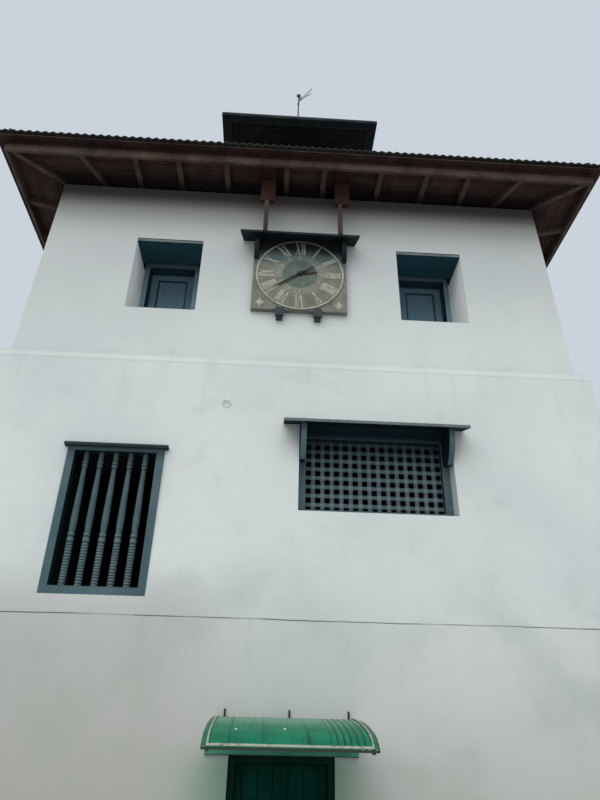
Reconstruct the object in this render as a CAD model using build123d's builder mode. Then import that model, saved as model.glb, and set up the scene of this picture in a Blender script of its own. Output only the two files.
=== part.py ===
# A square masonry clock tower with a tiled hipped roof, built from its real pieces.
# Millimetres, +Z up. The origin is the centre of the tower at ground level, and the
# front, with the clock and the door, faces -Y.
from build123d import *

import os
from math import copysign, cos, hypot, radians, sin, tan

os.makedirs("parts", exist_ok=True)

# Masonry
half_ground = 3730.0        # half width of the tower at the ground
batter = 0.02               # inward lean of each outer face per unit of height
wall_thick = 1130.0         # at the ground
course_z = 3000.0           # joint between the doorway storey and the middle storey
ledge_z = 6050.0            # top of the thicker lower storeys
set_off = 120.0             # how far the upper storey stands back at the ledge
upper_high = 3000.0         # from the ledge to the top of the walls

# Floors
ground_floor_thick = 60.0
floor_thick = 180.0
first_floor_drop = 100.0    # walking level below the course joint
second_floor_rise = 50.0    # walking level above the ledge

# Front doorway
door_x = -62.0
door_wide = 940.0
door_head_z = 1850.0
door_frame_face = 60.0      # width of a jamb seen from the front
door_frame_deep = 110.0
door_recess = 60.0          # frame behind the wall face
lintel_end = 210.0          # door lintel beyond each side of the doorway
lintel_high = 120.0
lintel_proud = 25.0
leaf_gap = 6.0              # between the leaf and what is round it
leaf_thick = 42.0
hinge_offset = 15.0         # pin axis behind the inner face of the leaf
pin_radius = 8.0
pin_clearance = 0.3
eye_radius = 13.5
strap_inset = 250.0         # strap from the end of the leaf
strap_long = 560.0
strap_high = 46.0
strap_thick = 6.0
pintle_drop = 12.0          # pintle arm below the eye of the strap
pintle_high = 20.0
pintle_long = 40.0
pin_over = 8.0              # pin above the eye

# Baluster window, and the shuttered windows at its level on the other sides
middle_window_z = (3195.0, 4820.0)
middle_window_wide = 1046.0
baluster_window_x = -1972.0
window_frame_face = 80.0
window_frame_deep = 110.0
cap_high = 32.0             # moulding over the frame, on the wall face
cap_proud = 42.0
cap_end = 42.0
baluster_count = 5
baluster_pitch = 160.0
baluster_radius = 40.0
baluster_sides = 12         # flats that stand for the round of a turned bar
baluster_shank = 0.29       # share of the height with close rings
baluster_beads = 0.425      # top of the two larger beads
baluster_rings = 15
baluster_collar = 0.9       # foot of the collar

# Lattice window
lattice_x = 908.0
lattice_z = (4145.0, 5185.0)
lattice_wide = 1743.0
lattice_frame_face = 88.0
lattice_frame_deep = 60.0
lattice_recess = 200.0
lattice_columns = 15
lattice_rows = 9
lattice_bar = 45.0
lattice_thick = 28.0
lattice_side_gap = 46.0     # screen to the reveals
lattice_end_gap = 16.0      # screen to the sill and the head
lattice_foot_bar = 66.0     # wider bar along the foot of the screen
lattice_head_bar = 12.0     # narrower bar along its head
lattice_lintel_thick = 25.0

# Windows of the upper storey, two on each side
window_inset = 1639.0       # centre line from the corner of the walls
upper_sill_rise = 815.0     # above the ledge
upper_window_high = 1210.0
upper_window_wide = 900.0
lintel_deep = 470.0
lintel_thick = 50.0
inner_rise = 110.0          # head of the opening behind the lintel board
shutter_depth = 660.0       # frame behind the wall face
upper_frame_face = 70.0
upper_frame_wider = 100.0   # more width on the jamb nearer the middle of the wall
upper_frame_deep = 190.0
shutter_set_back = 150.0    # shutter behind the face of its frame
shutter_thick = 40.0
shutter_rail = 125.0
panel_sunk = 18.0

# Clock
dial_rise = 1430.0          # centre of the dial above the ledge
dial_radius = 588.0
dial_thick = 12.0
dial_drop = 30.0            # centre of the dial below the centre of its board
dial_margin = 37.0          # board beyond the dial on each side
board_proud = 70.0          # board face in front of the wall at its foot
arbor_radius = 12.0
arbor_cap_radius = 20.0
hub_radius = 34.0
hand_clearance = 5.0
hand_thick = 6.0
hand_shoulder = 0.75        # share of a hand's length where its point begins
hand_narrow = 0.4           # half width there, in shares of the root
minute_long = 430.0
minute_tail = 215.0
minute_root = 30.0
hour_long = 240.0
hour_tail = 45.0
hour_root = 50.0
minute_angle = 234.0        # clockwise from twelve, at rest
hour_angle = 79.5
corbel_places = (-252.0, 240.0)
corbel_wide = 112.0
corbel_thick = 40.0
corbel_lap = 20.0           # upstand of a corbel over the foot of the board
peg_wide = 85.0
peg_high = 130.0

# Sloping hoods over the clock and the lattice window
hood_slope = 20.0
hood_thick = 35.0
hood_proud = 300.0
hood_lap = 13.0             # clock hood below the top of the board at the wall
clock_hood_x = -15.0
clock_hood_wide = 1611.0
clock_hood_splay = 31.0     # how much each end narrows back to the wall
lattice_hood_x = 888.0
lattice_hood_wide = 2073.0
bracket_wide = 62.0
bracket_lip = 28.0
bracket_gap = 10.0          # between a bracket and the reveal beside it
bracket_reach = 205.0
bracket_bow = 0.14          # bow of its front edge, in shares of that edge's height
clock_bracket_high = 400.0
clock_bracket_toe = 26.0
lattice_bracket_high = 435.0
lattice_bracket_rise = 52.0  # slope of its foot back to the window frame

# Eaves and main roof
eaves_overhang = 631.0      # outer face of the fascia from the wall
soffit_rise = 0.08          # rise of the rafter tails toward the wall
fascia_drop = 95.0          # foot of the fascia below the wall top
fascia_thick = 30.0
fascia_lower_high = 112.0
fascia_step = 12.0          # lower board in front of the upper one
rafter_wide = 70.0
rafter_deep = 90.0
rafter_places = (-2330.0, -1735.0, -1070.0, -230.0, 300.0, 1090.0, 1740.0, 2330.0)
fan_inset = 584.0           # fan rafter at the wall line, from the corner
fan_turn = 21.8             # its turn from square
soffit_thick = 20.0
plate_wide = 200.0
plate_setback = 50.0        # wall plate behind the wall face
tail_back = 150.0           # rafter tails behind the wall plate
mitre_gap = 0.6             # between boards that meet at a corner
tile_overhang = 135.0
roof_edge_rise = 170.0      # top of the tiles at the eave above the wall top
eave_pitch = 22.0           # flatter slope outside the walls
roof_pitch = 42.0
eave_thick = 105.0          # tiles and boards, measured upright
roof_thick = 200.0          # tiles, boards and rafters, measured upright
tile_courses = 15           # rows of tiles up each slope
tile_bed = 37.0             # head of a tile below the line of the crests
tile_step = 21.0            # how far the foot of a course stands over the course below

# Hangers that come down from the eaves to the clock hood
hanger_places = (-480.0, 562.0)
hanger_wide = 204.0
hanger_thick = 64.0
hanger_proud = 330.0        # face in front of the wall top
hanger_drop = 445.0         # foot below the wall top
post_places = (-490.0, 530.0)
post_side = 60.0

# Roof lantern
lantern_half = 850.0
lantern_post = 120.0
lantern_high = 1453.0       # from the main roof to the foot of its rim
lantern_roof_half = 1585.0
lantern_rim_wide = 145.0
lantern_rim_high = 50.0
lantern_pitch = 30.0
lantern_roof_thick = 30.0   # measured upright
louvre_count = 6
louvre_wide = 160.0
louvre_thick = 20.0
louvre_tilt = 35.0

# Weather vane
pole_radius = 15.0
pole_high = 2650.0          # from the lantern rim to the foot of the vane
collar_radius = 24.0
collar_high = 30.0
spindle_radius = 8.0
spindle_high = 190.0
sleeve_radius = 16.0
sleeve_high = 250.0
vane_ball_radius = 50.0
vane_thick = 8.0
vane_reach = 425.0          # from the axis to the farther tip of the tail
vane_turn = -41.0           # direction of the tail at rest

# Canopy over the door
canopy_x = -35.0
canopy_wide = 1300.0
canopy_proud = 1215.0
canopy_rise = 305.0         # sheet at the wall above the door head
canopy_fall = 268.0         # from the wall to the front edge
canopy_shoulder = (980.0, 151.0)    # where the curve tightens: out and down
canopy_bulge = 22.0
canopy_sheet_thick = 6.0
canopy_strip = 30.0
canopy_inset = 45.0         # strips from the ends of the sheet
canopy_lip_high = 18.0
trim_wide = 14.0
trim_back = 9.0             # front trim behind the front edge
lip_deep = 20.0
hook_places = (-554.0, 31.0, 571.0)
hook_wide = 16.0
hook_high = 63.0
hook_proud = 14.0

QUARTERS = (0, 90, 180, 270)

inner_half = half_ground - wall_thick
wall_top_z = ledge_z + upper_high
first_floor_z = course_z - first_floor_drop
second_floor_z = ledge_z + second_floor_rise


def lower_half(z):
    """Half width of the lower storeys at height z."""
    return half_ground - batter * z


def upper_half(z):
    """Half width of the upper storey at height z."""
    return half_ground - set_off - batter * z


wall_half = upper_half(wall_top_z)


def save(piece, name):
    """Label a finished piece and write it as its own file."""
    piece.part.label = name
    export_step(piece.part, f"parts/{name}.step")


def around(part, angles=QUARTERS):
    """Repeat a part made for the front on the sides at the given turns."""
    with BuildPart() as ring:
        with Locations(*[Location((0, 0, 0), (0, 0, angle)) for angle in angles]):
            add(part)
    return ring


def masonry(z0, z1, half_at):
    """Battered block of the tower between two heights, still solid."""
    with BuildPart() as block:
        for z in (z0, z1):
            with BuildSketch(Plane.XY.offset(z)):
                Rectangle(2 * half_at(z), 2 * half_at(z))
        loft()
    return block.part


def front_wall(z0, z1, half_at):
    """Full width wall on the front, from the outer face to the room."""
    with BuildPart() as wall:
        add(masonry(z0, z1, half_at))
        split(bisect_by=Plane.XZ.offset(inner_half), keep=Keep.TOP)
    return wall.part


def side_wall(z0, z1, half_at):
    """Wall on the +X side, between the front and back walls."""
    with BuildPart() as wall:
        add(masonry(z0, z1, half_at))
        split(bisect_by=Plane.XZ.offset(inner_half), keep=Keep.BOTTOM)
        split(bisect_by=Plane.XZ.offset(-inner_half), keep=Keep.TOP)
        split(bisect_by=Plane.YZ.offset(inner_half), keep=Keep.TOP)
    return wall.part


def opening(x, width, z0, z1, reach=2 * half_ground):
    """Solid that cuts an opening in the front wall, from the room out to a distance."""
    with BuildPart() as block:
        with BuildSketch(Plane.XZ):
            with Locations((x, (z0 + z1) / 2)):
                Rectangle(width, z1 - z0)
        extrude(amount=reach)
    return block.part


def frame_solid(x, y_front, width, z0, z1, face, deep, wider=0.0):
    """Plain frame that fills an opening. The jamb nearer the wall's middle may be wider."""
    with BuildPart() as frame:
        with BuildSketch(Plane.XZ.offset(-y_front)):
            with Locations((x, (z0 + z1) / 2)):
                Rectangle(width, z1 - z0)
            with Locations((x + copysign(wider / 2, x), (z0 + z1) / 2)):
                Rectangle(width - 2 * face - wider, z1 - z0 - 2 * face, mode=Mode.SUBTRACT)
        extrude(amount=-deep)
    return frame.part


def wall_strip(x, width, z0, z1, half_at, proud):
    """Board that lies against the battered wall face."""
    with BuildPart() as strip:
        with BuildSketch(Plane.YZ.offset(x - width / 2)):
            with BuildLine():
                Polyline(
                    (-half_at(z0), z0),
                    (-half_at(z1), z1),
                    (-half_at(z1) - proud, z1),
                    (-half_at(z0) - proud, z0),
                    close=True,
                )
            make_face()
        extrude(amount=width)
    return strip.part


def lintel_board(x, width, z_top, thick, half_at, y_back):
    """Board under the head of an opening, from the battered wall face back to y_back."""
    with BuildPart() as board:
        with BuildSketch(Plane.YZ.offset(x - width / 2)):
            with BuildLine():
                Polyline(
                    (-half_at(z_top), z_top),
                    (-half_at(z_top), z_top - thick),
                    (y_back, z_top - thick),
                    (y_back, z_top),
                    close=True,
                )
            make_face()
        extrude(amount=width)
    return board.part


# Walls of the lower storeys. The front one is cut beside and over the doorway.
with BuildPart() as front_band:
    add(front_wall(0, course_z, lower_half))
    add(opening(door_x, door_wide, 0, course_z), mode=Mode.SUBTRACT)
for name, keep in (("front_wall_left", Keep.BOTTOM), ("front_wall_right", Keep.TOP)):
    with BuildPart() as pier:
        add(front_band.part)
        split(bisect_by=Plane.YZ.offset(door_x), keep=keep)
    save(pier, name)

with BuildPart() as front_wall_over_door:
    add(front_wall(door_head_z, course_z, lower_half))
    split(bisect_by=Plane.YZ.offset(door_x - door_wide / 2), keep=Keep.TOP)
    split(bisect_by=Plane.YZ.offset(door_x + door_wide / 2), keep=Keep.BOTTOM)
save(front_wall_over_door, "front_wall_over_door")

with BuildPart() as front_wall_middle:
    add(front_wall(course_z, ledge_z, lower_half))
    add(opening(baluster_window_x, middle_window_wide, *middle_window_z), mode=Mode.SUBTRACT)
    add(opening(lattice_x, lattice_wide, *lattice_z), mode=Mode.SUBTRACT)
save(front_wall_middle, "front_wall_middle")

side_window = opening(0, middle_window_wide, *middle_window_z)
with BuildPart() as plain_lower:
    add(front_wall(0, ledge_z, lower_half))
    add(side_window, mode=Mode.SUBTRACT)
save(around(plain_lower.part, (180,)), "back_wall_lower")

with BuildPart() as right_wall_lower:
    add(side_wall(0, ledge_z, lower_half))
    with Locations(Location((0, 0, 0), (0, 0, 90))):
        add(side_window, mode=Mode.SUBTRACT)
save(right_wall_lower, "right_wall_lower")
save(around(right_wall_lower.part, (180,)), "left_wall_lower")

# Walls of the upper storey, each with two windows. Behind the lintel board the head is higher.
upper_window_x = wall_half - window_inset
upper_window_z = (ledge_z + upper_sill_rise, ledge_z + upper_sill_rise + upper_window_high)
window_face = upper_half(sum(upper_window_z) / 2)
frame_head_z = upper_window_z[1] + inner_rise
with BuildPart() as upper_openings:
    for x in (-upper_window_x, upper_window_x):
        add(opening(x, upper_window_wide, *upper_window_z))
        add(opening(x, upper_window_wide, upper_window_z[0], frame_head_z, window_face - lintel_deep))

with BuildPart() as front_wall_upper:
    add(front_wall(ledge_z, wall_top_z, upper_half))
    add(upper_openings.part, mode=Mode.SUBTRACT)
save(front_wall_upper, "front_wall_upper")
save(around(front_wall_upper.part, (180,)), "back_wall_upper")

with BuildPart() as right_wall_upper:
    add(side_wall(ledge_z, wall_top_z, upper_half))
    with Locations(Location((0, 0, 0), (0, 0, 90))):
        add(upper_openings.part, mode=Mode.SUBTRACT)
save(right_wall_upper, "right_wall_upper")
save(around(right_wall_upper.part, (180,)), "left_wall_upper")

# Floors reach from wall to wall.
with BuildPart() as floors:
    for top, thick in ((ground_floor_thick, ground_floor_thick),
                       (first_floor_z, floor_thick), (second_floor_z, floor_thick)):
        with BuildSketch(Plane.XY.offset(top - thick)):
            Rectangle(2 * inner_half, 2 * inner_half)
        extrude(amount=thick)
save(floors, "floors")

# Upper windows: a lintel board, then a frame with a closed shutter deep in each opening.
with BuildPart() as front_lintels:
    for x in (-upper_window_x, upper_window_x):
        add(lintel_board(x, upper_window_wide, upper_window_z[1], lintel_thick, upper_half,
                         lintel_deep - window_face))
save(around(front_lintels.part), "upper_window_lintels")


def shutter_solid(x, y_front, width, z0, z1):
    """Closed shutter with a sunk panel, filling a window frame."""
    with BuildPart() as shutter:
        with BuildSketch(Plane.XZ.offset(-y_front)):
            with Locations((x, (z0 + z1) / 2)):
                Rectangle(width, z1 - z0)
        extrude(amount=-shutter_thick)
        with BuildSketch(Plane.XZ.offset(-y_front)):
            with Locations((x, (z0 + z1) / 2)):
                Rectangle(width - 2 * shutter_rail, z1 - z0 - 2 * shutter_rail)
        extrude(amount=-panel_sunk, mode=Mode.SUBTRACT)
    return shutter.part


upper_frame_y = shutter_depth - window_face
middle_face = lower_half(middle_window_z[0])
with BuildPart() as front_shutter_frames:
    for x in (-upper_window_x, upper_window_x):
        add(frame_solid(x, upper_frame_y, upper_window_wide, upper_window_z[0], frame_head_z,
                        upper_frame_face, upper_frame_deep, upper_frame_wider))
with BuildPart() as front_shutters:
    for x in (-upper_window_x, upper_window_x):
        add(shutter_solid(x + copysign(upper_frame_wider / 2, x), upper_frame_y + shutter_set_back,
                          upper_window_wide - 2 * upper_frame_face - upper_frame_wider,
                          upper_window_z[0] + upper_frame_face, frame_head_z - upper_frame_face))
with BuildPart() as side_frame:
    add(frame_solid(0, -middle_face, middle_window_wide, *middle_window_z, window_frame_face,
                    window_frame_deep))
with BuildPart() as side_shutter:
    add(shutter_solid(0, -middle_face + window_frame_deep / 4, middle_window_wide - 2 * window_frame_face,
                      middle_window_z[0] + window_frame_face, middle_window_z[1] - window_frame_face))
with BuildPart() as shutter_frames:
    add(around(front_shutter_frames.part).part)
    add(around(side_frame.part, (90, 180, 270)).part)
save(shutter_frames, "shutter_frames")
with BuildPart() as window_shutters:
    add(around(front_shutters.part).part)
    add(around(side_shutter.part, (90, 180, 270)).part)
save(window_shutters, "window_shutters")

# Baluster window: a frame flush with the wall under a cap moulding, and five turned bars.
with BuildPart() as baluster_window_frame:
    add(frame_solid(baluster_window_x, -middle_face, middle_window_wide, *middle_window_z,
                    window_frame_face, window_frame_deep))
    with BuildSketch(Plane.YZ.offset(baluster_window_x - middle_window_wide / 2 - cap_end)):
        with BuildLine():
            cap_foot_z = middle_window_z[1] - cap_high
            Polyline(
                (-lower_half(cap_foot_z), cap_foot_z),
                (-lower_half(middle_window_z[1]), middle_window_z[1]),
                (-middle_face - cap_proud, middle_window_z[1]),
                (-middle_face - cap_proud, cap_foot_z + cap_high / 2),
                (-middle_face - cap_proud / 2, cap_foot_z),
                close=True,
            )
        make_face()
    extrude(amount=middle_window_wide + 2 * cap_end)
save(baluster_window_frame, "baluster_window_frame")

baluster_foot = middle_window_z[0] + window_frame_face
baluster_high = middle_window_z[1] - middle_window_z[0] - 2 * window_frame_face


def rings(low, high, count, neck, swell):
    """Turned rings between two heights, as (height, radius) in shares of the bar's."""
    step = (high - low) / count
    turned = []
    for index in range(count):
        turned += [(low + index * step, neck), (low + (index + 0.5) * step, swell)]
    return turned


baluster_profile = [
    *rings(0, baluster_shank, baluster_rings, 0.72, 0.9),
    *rings(baluster_shank, baluster_beads, 2, 0.74, 0.98),
    (baluster_beads, 0.84),
    (0.46, 0.93),
    (0.7, 0.78),
    (0.89, 0.56),
    *rings(baluster_collar, 1, 3, 0.6, 0.88),
    (1, 0.62),
]
with BuildPart() as one_baluster:
    for height, radius in baluster_profile:
        with BuildSketch(Plane.XY.offset(height * baluster_high)):
            RegularPolygon(radius * baluster_radius, baluster_sides)
    loft(ruled=True)
with BuildPart() as window_balusters:
    with Locations((baluster_window_x, -middle_face + window_frame_deep / 2, baluster_foot)):
        with GridLocations(baluster_pitch, 1, baluster_count, 1):
            add(one_baluster.part)
save(window_balusters, "window_balusters")

# Lattice window: a recessed frame under a lintel board, and one pierced screen behind it.
lattice_face = lower_half(lattice_z[0]) - lattice_recess
bracket_place = lattice_wide / 2 - bracket_gap - bracket_wide / 2
with BuildPart() as lattice_frame:
    add(frame_solid(lattice_x, -lattice_face, lattice_wide, *lattice_z, lattice_frame_face,
                    lattice_frame_deep))
    add(lintel_board(lattice_x, 2 * bracket_place - bracket_wide, lattice_z[1], lattice_lintel_thick,
                     lower_half, -lattice_face))
save(lattice_frame, "lattice_frame")
screen_wide = lattice_wide - 2 * lattice_side_gap
screen_high = lattice_z[1] - lattice_z[0] - 2 * lattice_end_gap
column_pitch = (screen_wide - lattice_bar) / lattice_columns
screen_foot_z = lattice_z[0] + lattice_end_gap
row_pitch = (screen_high - lattice_foot_bar - lattice_head_bar + lattice_bar) / lattice_rows
rows_middle_z = screen_foot_z + lattice_foot_bar + (lattice_rows * row_pitch - lattice_bar) / 2
with BuildPart() as lattice_screen:
    with BuildSketch(Plane.XZ.offset(lattice_face - lattice_frame_deep)):
        with Locations((lattice_x, screen_foot_z + screen_high / 2)):
            Rectangle(screen_wide, screen_high)
        with Locations((lattice_x, rows_middle_z)):
            with GridLocations(column_pitch, row_pitch, lattice_columns, lattice_rows):
                Rectangle(column_pitch - lattice_bar, row_pitch - lattice_bar, mode=Mode.SUBTRACT)
    extrude(amount=-lattice_thick)
save(lattice_screen, "lattice_screen")

# Hoods: boards that slope out from the wall on curved brackets.
hood_fall = tan(radians(hood_slope))


def hood_plane(z_wall, half_at):
    """Plane of a hood's underside, facing up."""
    return Plane((0, -half_at(z_wall), z_wall), x_dir=(1, 0, 0),
                 z_dir=(0, -sin(radians(hood_slope)), cos(radians(hood_slope))))


def hood(x, width, z_wall, half_at, splay=0.0):
    """Sloping board let against the battered wall, underside at z_wall."""
    foot = -half_at(z_wall)
    drop = hood_proud * hood_fall
    with BuildPart() as board:
        with BuildSketch(Plane.YZ.offset(x - width / 2)):
            with BuildLine():
                Polyline(
                    (foot, z_wall),
                    (foot, z_wall + hood_thick),
                    (foot - hood_proud, z_wall + hood_thick - drop),
                    (foot - hood_proud, z_wall - drop),
                    close=True,
                )
            make_face()
        extrude(amount=width)
        for side in (-1, 1):
            split(bisect_by=Plane((x + side * width / 2, foot - hood_proud, z_wall), x_dir=(0, 0, 1),
                                  z_dir=(-side * hood_proud, -splay, 0)), keep=Keep.TOP)
    return board


def hood_bracket(x, back, z_wall, half_at, toe, foot_z):
    """Curved bracket from a face at back to the nose under a hood."""
    nose = -half_at(z_wall) - bracket_reach
    lip_z = z_wall - bracket_reach * hood_fall - bracket_lip
    with BuildPart() as bracket:
        with BuildSketch(Plane.YZ.offset(x - bracket_wide / 2)):
            with BuildLine():
                Polyline((nose, lip_z), (nose, z_wall), (back, z_wall), (back, foot_z), toe)
                SagittaArc(toe, (nose, lip_z), bracket_bow * (lip_z - toe[1]))
            make_face()
        extrude(amount=bracket_wide)
        split(bisect_by=hood_plane(z_wall, half_at), keep=Keep.BOTTOM)
    return bracket.part


save(hood(lattice_hood_x, lattice_hood_wide, lattice_z[1], lower_half), "lattice_hood")
lattice_toe_z = lattice_z[1] - lattice_bracket_high
lattice_toe = (-lower_half(lattice_toe_z), lattice_toe_z)
with BuildPart() as lattice_hood_brackets:
    for side in (-1, 1):
        add(hood_bracket(lattice_x + side * bracket_place, -lattice_face, lattice_z[1], lower_half,
                         lattice_toe, lattice_toe_z + lattice_bracket_rise))
save(lattice_hood_brackets, "lattice_hood_brackets")

# Clock: a square board against the wall, a round dial on it, hood, brackets and corbels.
dial_z = ledge_z + dial_rise
board_half = dial_radius + dial_margin
board_z = (dial_z + dial_drop - board_half, dial_z + dial_drop + board_half)
board_face = upper_half(board_z[0]) + board_proud
clock_hood_z = board_z[1] - hood_lap
with BuildPart() as clock_board:
    with BuildSketch(Plane.YZ.offset(-board_half)):
        with BuildLine():
            Polyline(
                (-upper_half(board_z[0]), board_z[0]),
                (-upper_half(board_z[1]), board_z[1]),
                (-board_face, board_z[1]),
                (-board_face, board_z[0]),
                close=True,
            )
        make_face()
    extrude(amount=2 * board_half)
    split(bisect_by=hood_plane(clock_hood_z, upper_half), keep=Keep.BOTTOM)
save(clock_board, "clock_board")

with BuildPart() as clock_dial:
    with BuildSketch(Plane.XZ.offset(board_face)):
        with Locations((0, dial_z)):
            Circle(dial_radius)
    extrude(amount=dial_thick)
save(clock_dial, "clock_dial")

save(hood(clock_hood_x, clock_hood_wide, clock_hood_z, upper_half, clock_hood_splay), "clock_hood")
clock_toe_z = clock_hood_z - clock_bracket_high
with BuildPart() as clock_hood_brackets:
    for side in (-1, 1):
        add(hood_bracket(side * (board_half - bracket_wide / 2), -board_face, clock_hood_z, upper_half,
                         (-board_face - clock_bracket_toe, clock_toe_z), clock_toe_z))
save(clock_hood_brackets, "clock_hood_brackets")

with BuildPart() as clock_corbels:
    for x in corbel_places:
        add(wall_strip(x, peg_wide, board_z[0] - peg_high, board_z[0], upper_half, board_proud))
        with BuildSketch(Plane.YZ.offset(x - corbel_wide / 2)):
            with Locations((-board_face - corbel_thick / 2, board_z[0] + corbel_lap - peg_high / 2)):
                RectangleRounded(corbel_thick, peg_high, corbel_thick / 4)
        extrude(amount=corbel_wide)
save(clock_corbels, "clock_corbels")

# Hands turn on one arbor in front of the dial.
dial_face = board_face + dial_thick
hour_back = dial_face + hand_clearance
minute_back = hour_back + hand_thick + hand_clearance
arbor_end = minute_back + hand_thick + hand_clearance
with BuildPart() as clock_arbor:
    with BuildSketch(Plane.XZ.offset(dial_face)):
        with Locations((0, dial_z)):
            Circle(arbor_radius)
    extrude(amount=arbor_end - dial_face)
    with BuildSketch(Plane.XZ.offset(arbor_end)):
        with Locations((0, dial_z)):
            Circle(arbor_cap_radius)
    extrude(amount=hand_thick)
save(clock_arbor, "clock_arbor")


def hand(back, angle, length, tail, root):
    """Flat hand, widest at its root, with a hub bored for the arbor."""
    plane = Plane((0, -back, dial_z), x_dir=(cos(radians(90 - angle)), 0, sin(radians(90 - angle))),
                  z_dir=(0, -1, 0))
    shoulder = (hand_shoulder * length, hand_narrow * root)
    with BuildPart() as blade:
        with BuildSketch(plane):
            with BuildLine():
                Polyline((-tail, root / 4), (0, root / 2), shoulder, (length, 0),
                         (shoulder[0], -shoulder[1]), (0, -root / 2), (-tail, -root / 4), close=True)
            make_face()
            Circle(hub_radius)
            Circle(arbor_radius + pin_clearance, mode=Mode.SUBTRACT)
        extrude(amount=hand_thick)
    return blade


save(hand(hour_back, hour_angle, hour_long, hour_tail, hour_root), "hour_hand")
save(hand(minute_back, minute_angle, minute_long, minute_tail, minute_root), "minute_hand")

# Eaves: wall plates, rafter tails, soffit boards and two stacked fascia boards.
eave_half = wall_half + eaves_overhang
tail_end = eave_half - fascia_thick
tail_start = wall_half - plate_setback - plate_wide - tail_back
fascia_foot_z = wall_top_z - fascia_drop


def soffit_z(half):
    """Underside of the rafter tails at a distance from the tower's axis."""
    return wall_top_z + (wall_half - half) * soffit_rise


def eave_layer(z_up, deep):
    """Profile of a layer that lies flat on the wall and slopes down outside it."""
    with BuildSketch() as profile:
        with BuildLine():
            Polyline(
                (-tail_start, wall_top_z + z_up),
                (-wall_half, wall_top_z + z_up),
                (-tail_end, soffit_z(tail_end) + z_up),
                (-tail_end, soffit_z(tail_end) + z_up + deep),
                (-wall_half, wall_top_z + z_up + deep),
                (-tail_start, wall_top_z + z_up + deep),
                close=True,
            )
        make_face()
    return profile.sketch


def mitred(profile, reach, gap=mitre_gap):
    """Run a profile along the front and cut both ends at 45 degrees."""
    half_gap = gap / 2
    with BuildPart() as run:
        with BuildSketch(Plane.YZ):
            add(profile)
        extrude(amount=reach, both=True)
        split(bisect_by=Plane((half_gap, -half_gap, 0), z_dir=(1, -1, 0)), keep=Keep.TOP)
        split(bisect_by=Plane((-half_gap, -half_gap, 0), z_dir=(-1, -1, 0)), keep=Keep.TOP)
    return run.part


# Square rafters along the side, and one fan rafter turned outward near each end.
eave_cut_z = wall_top_z - eaves_overhang
with BuildPart() as one_fan:
    add(mitred(eave_layer(0, rafter_deep), eave_half))
    with BuildSketch(Plane.XY.offset(eave_cut_z)):
        with Locations(Location((wall_half - fan_inset, -wall_half, 0), (0, 0, fan_turn))):
            Rectangle(rafter_wide, 4 * eaves_overhang)
    extrude(amount=2 * eaves_overhang, mode=Mode.INTERSECT)
with BuildPart() as front_tails:
    for place in rafter_places:
        with BuildSketch(Plane.YZ.offset(place - rafter_wide / 2)):
            add(eave_layer(0, rafter_deep))
        extrude(amount=rafter_wide)
    add(one_fan.part)
    add(one_fan.part.mirror(Plane.YZ))
save(around(front_tails.part), "rafter_tails")

with BuildPart() as front_hips:
    add(mitred(eave_layer(0, rafter_deep), eave_half, 0))
    hip_half = rafter_wide / 2 / cos(radians(45))
    with BuildSketch(Plane.XY.offset(eave_cut_z)):
        with BuildLine():
            Polyline((0, -hip_half), (eave_half, -eave_half - hip_half), (-eave_half, -eave_half - hip_half),
                     close=True)
        make_face()
    extrude(amount=2 * eaves_overhang, mode=Mode.SUBTRACT)
save(around(front_hips.part), "hip_rafters")

save(around(mitred(eave_layer(rafter_deep, soffit_thick), eave_half)), "soffit_boards")

eave_rise = tan(radians(eave_pitch))
roof_half = eave_half + tile_overhang
roof_edge_z = wall_top_z + roof_edge_rise
break_half = wall_half - plate_setback
break_z = roof_edge_z + (roof_half - break_half) * eave_rise
fascia_top_z = roof_edge_z + tile_overhang * eave_rise - eave_thick


def fascia_profile(z0, z1, thick):
    """Upright board across the ends of the rafter tails."""
    with BuildSketch() as profile:
        with Locations((-tail_end - thick / 2, (z0 + z1) / 2)):
            Rectangle(thick, z1 - z0)
    return profile.sketch


fascia_joint_z = fascia_foot_z + fascia_lower_high
lower_board = fascia_profile(fascia_foot_z, fascia_joint_z, fascia_thick + fascia_step)
save(around(mitred(lower_board, eave_half + fascia_step)), "fascia_lower")
save(around(mitred(fascia_profile(fascia_joint_z, fascia_top_z, fascia_thick), eave_half)), "fascia_upper")

plate_z = wall_top_z + rafter_deep + soffit_thick
with BuildSketch() as plate_profile:
    with Locations((-break_half + plate_wide / 2, (plate_z + break_z - roof_thick) / 2)):
        Rectangle(plate_wide, break_z - roof_thick - plate_z)
save(around(mitred(plate_profile.sketch, break_half)), "wall_plates")

lantern_foot_z = break_z + (break_half - lantern_half) * tan(radians(roof_pitch))
eave_run = hypot(roof_half - break_half, break_z - roof_edge_z)
slope_run = eave_run + hypot(break_half - lantern_half, lantern_foot_z - break_z)


def tile_point(course, step):
    """Point of the roof's section at the foot of a course, raised by a step."""
    up = course * slope_run / tile_courses
    low, high = ((roof_half, roof_edge_z), (break_half, break_z))
    share = up / eave_run
    if up > eave_run:
        low, high = high, (lantern_half, lantern_foot_z)
        share = (up - eave_run) / (slope_run - eave_run)
    return (share * (low[0] - high[0]) - low[0], low[1] + share * (high[1] - low[1]) - tile_bed + step)


course_points = []
for course in range(tile_courses):
    course_points += [tile_point(course, tile_step), tile_point(course + 1, 0)]
with BuildSketch() as slope_profile:
    with BuildLine():
        Polyline(
            (-roof_half, roof_edge_z - eave_thick),
            *course_points,
            (-lantern_half, lantern_foot_z - roof_thick),
            (-break_half, break_z - roof_thick),
            (-break_half, break_z - eave_thick),
            close=True,
        )
    make_face()
save(around(mitred(slope_profile.sketch, roof_half)), "main_roof")

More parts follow.
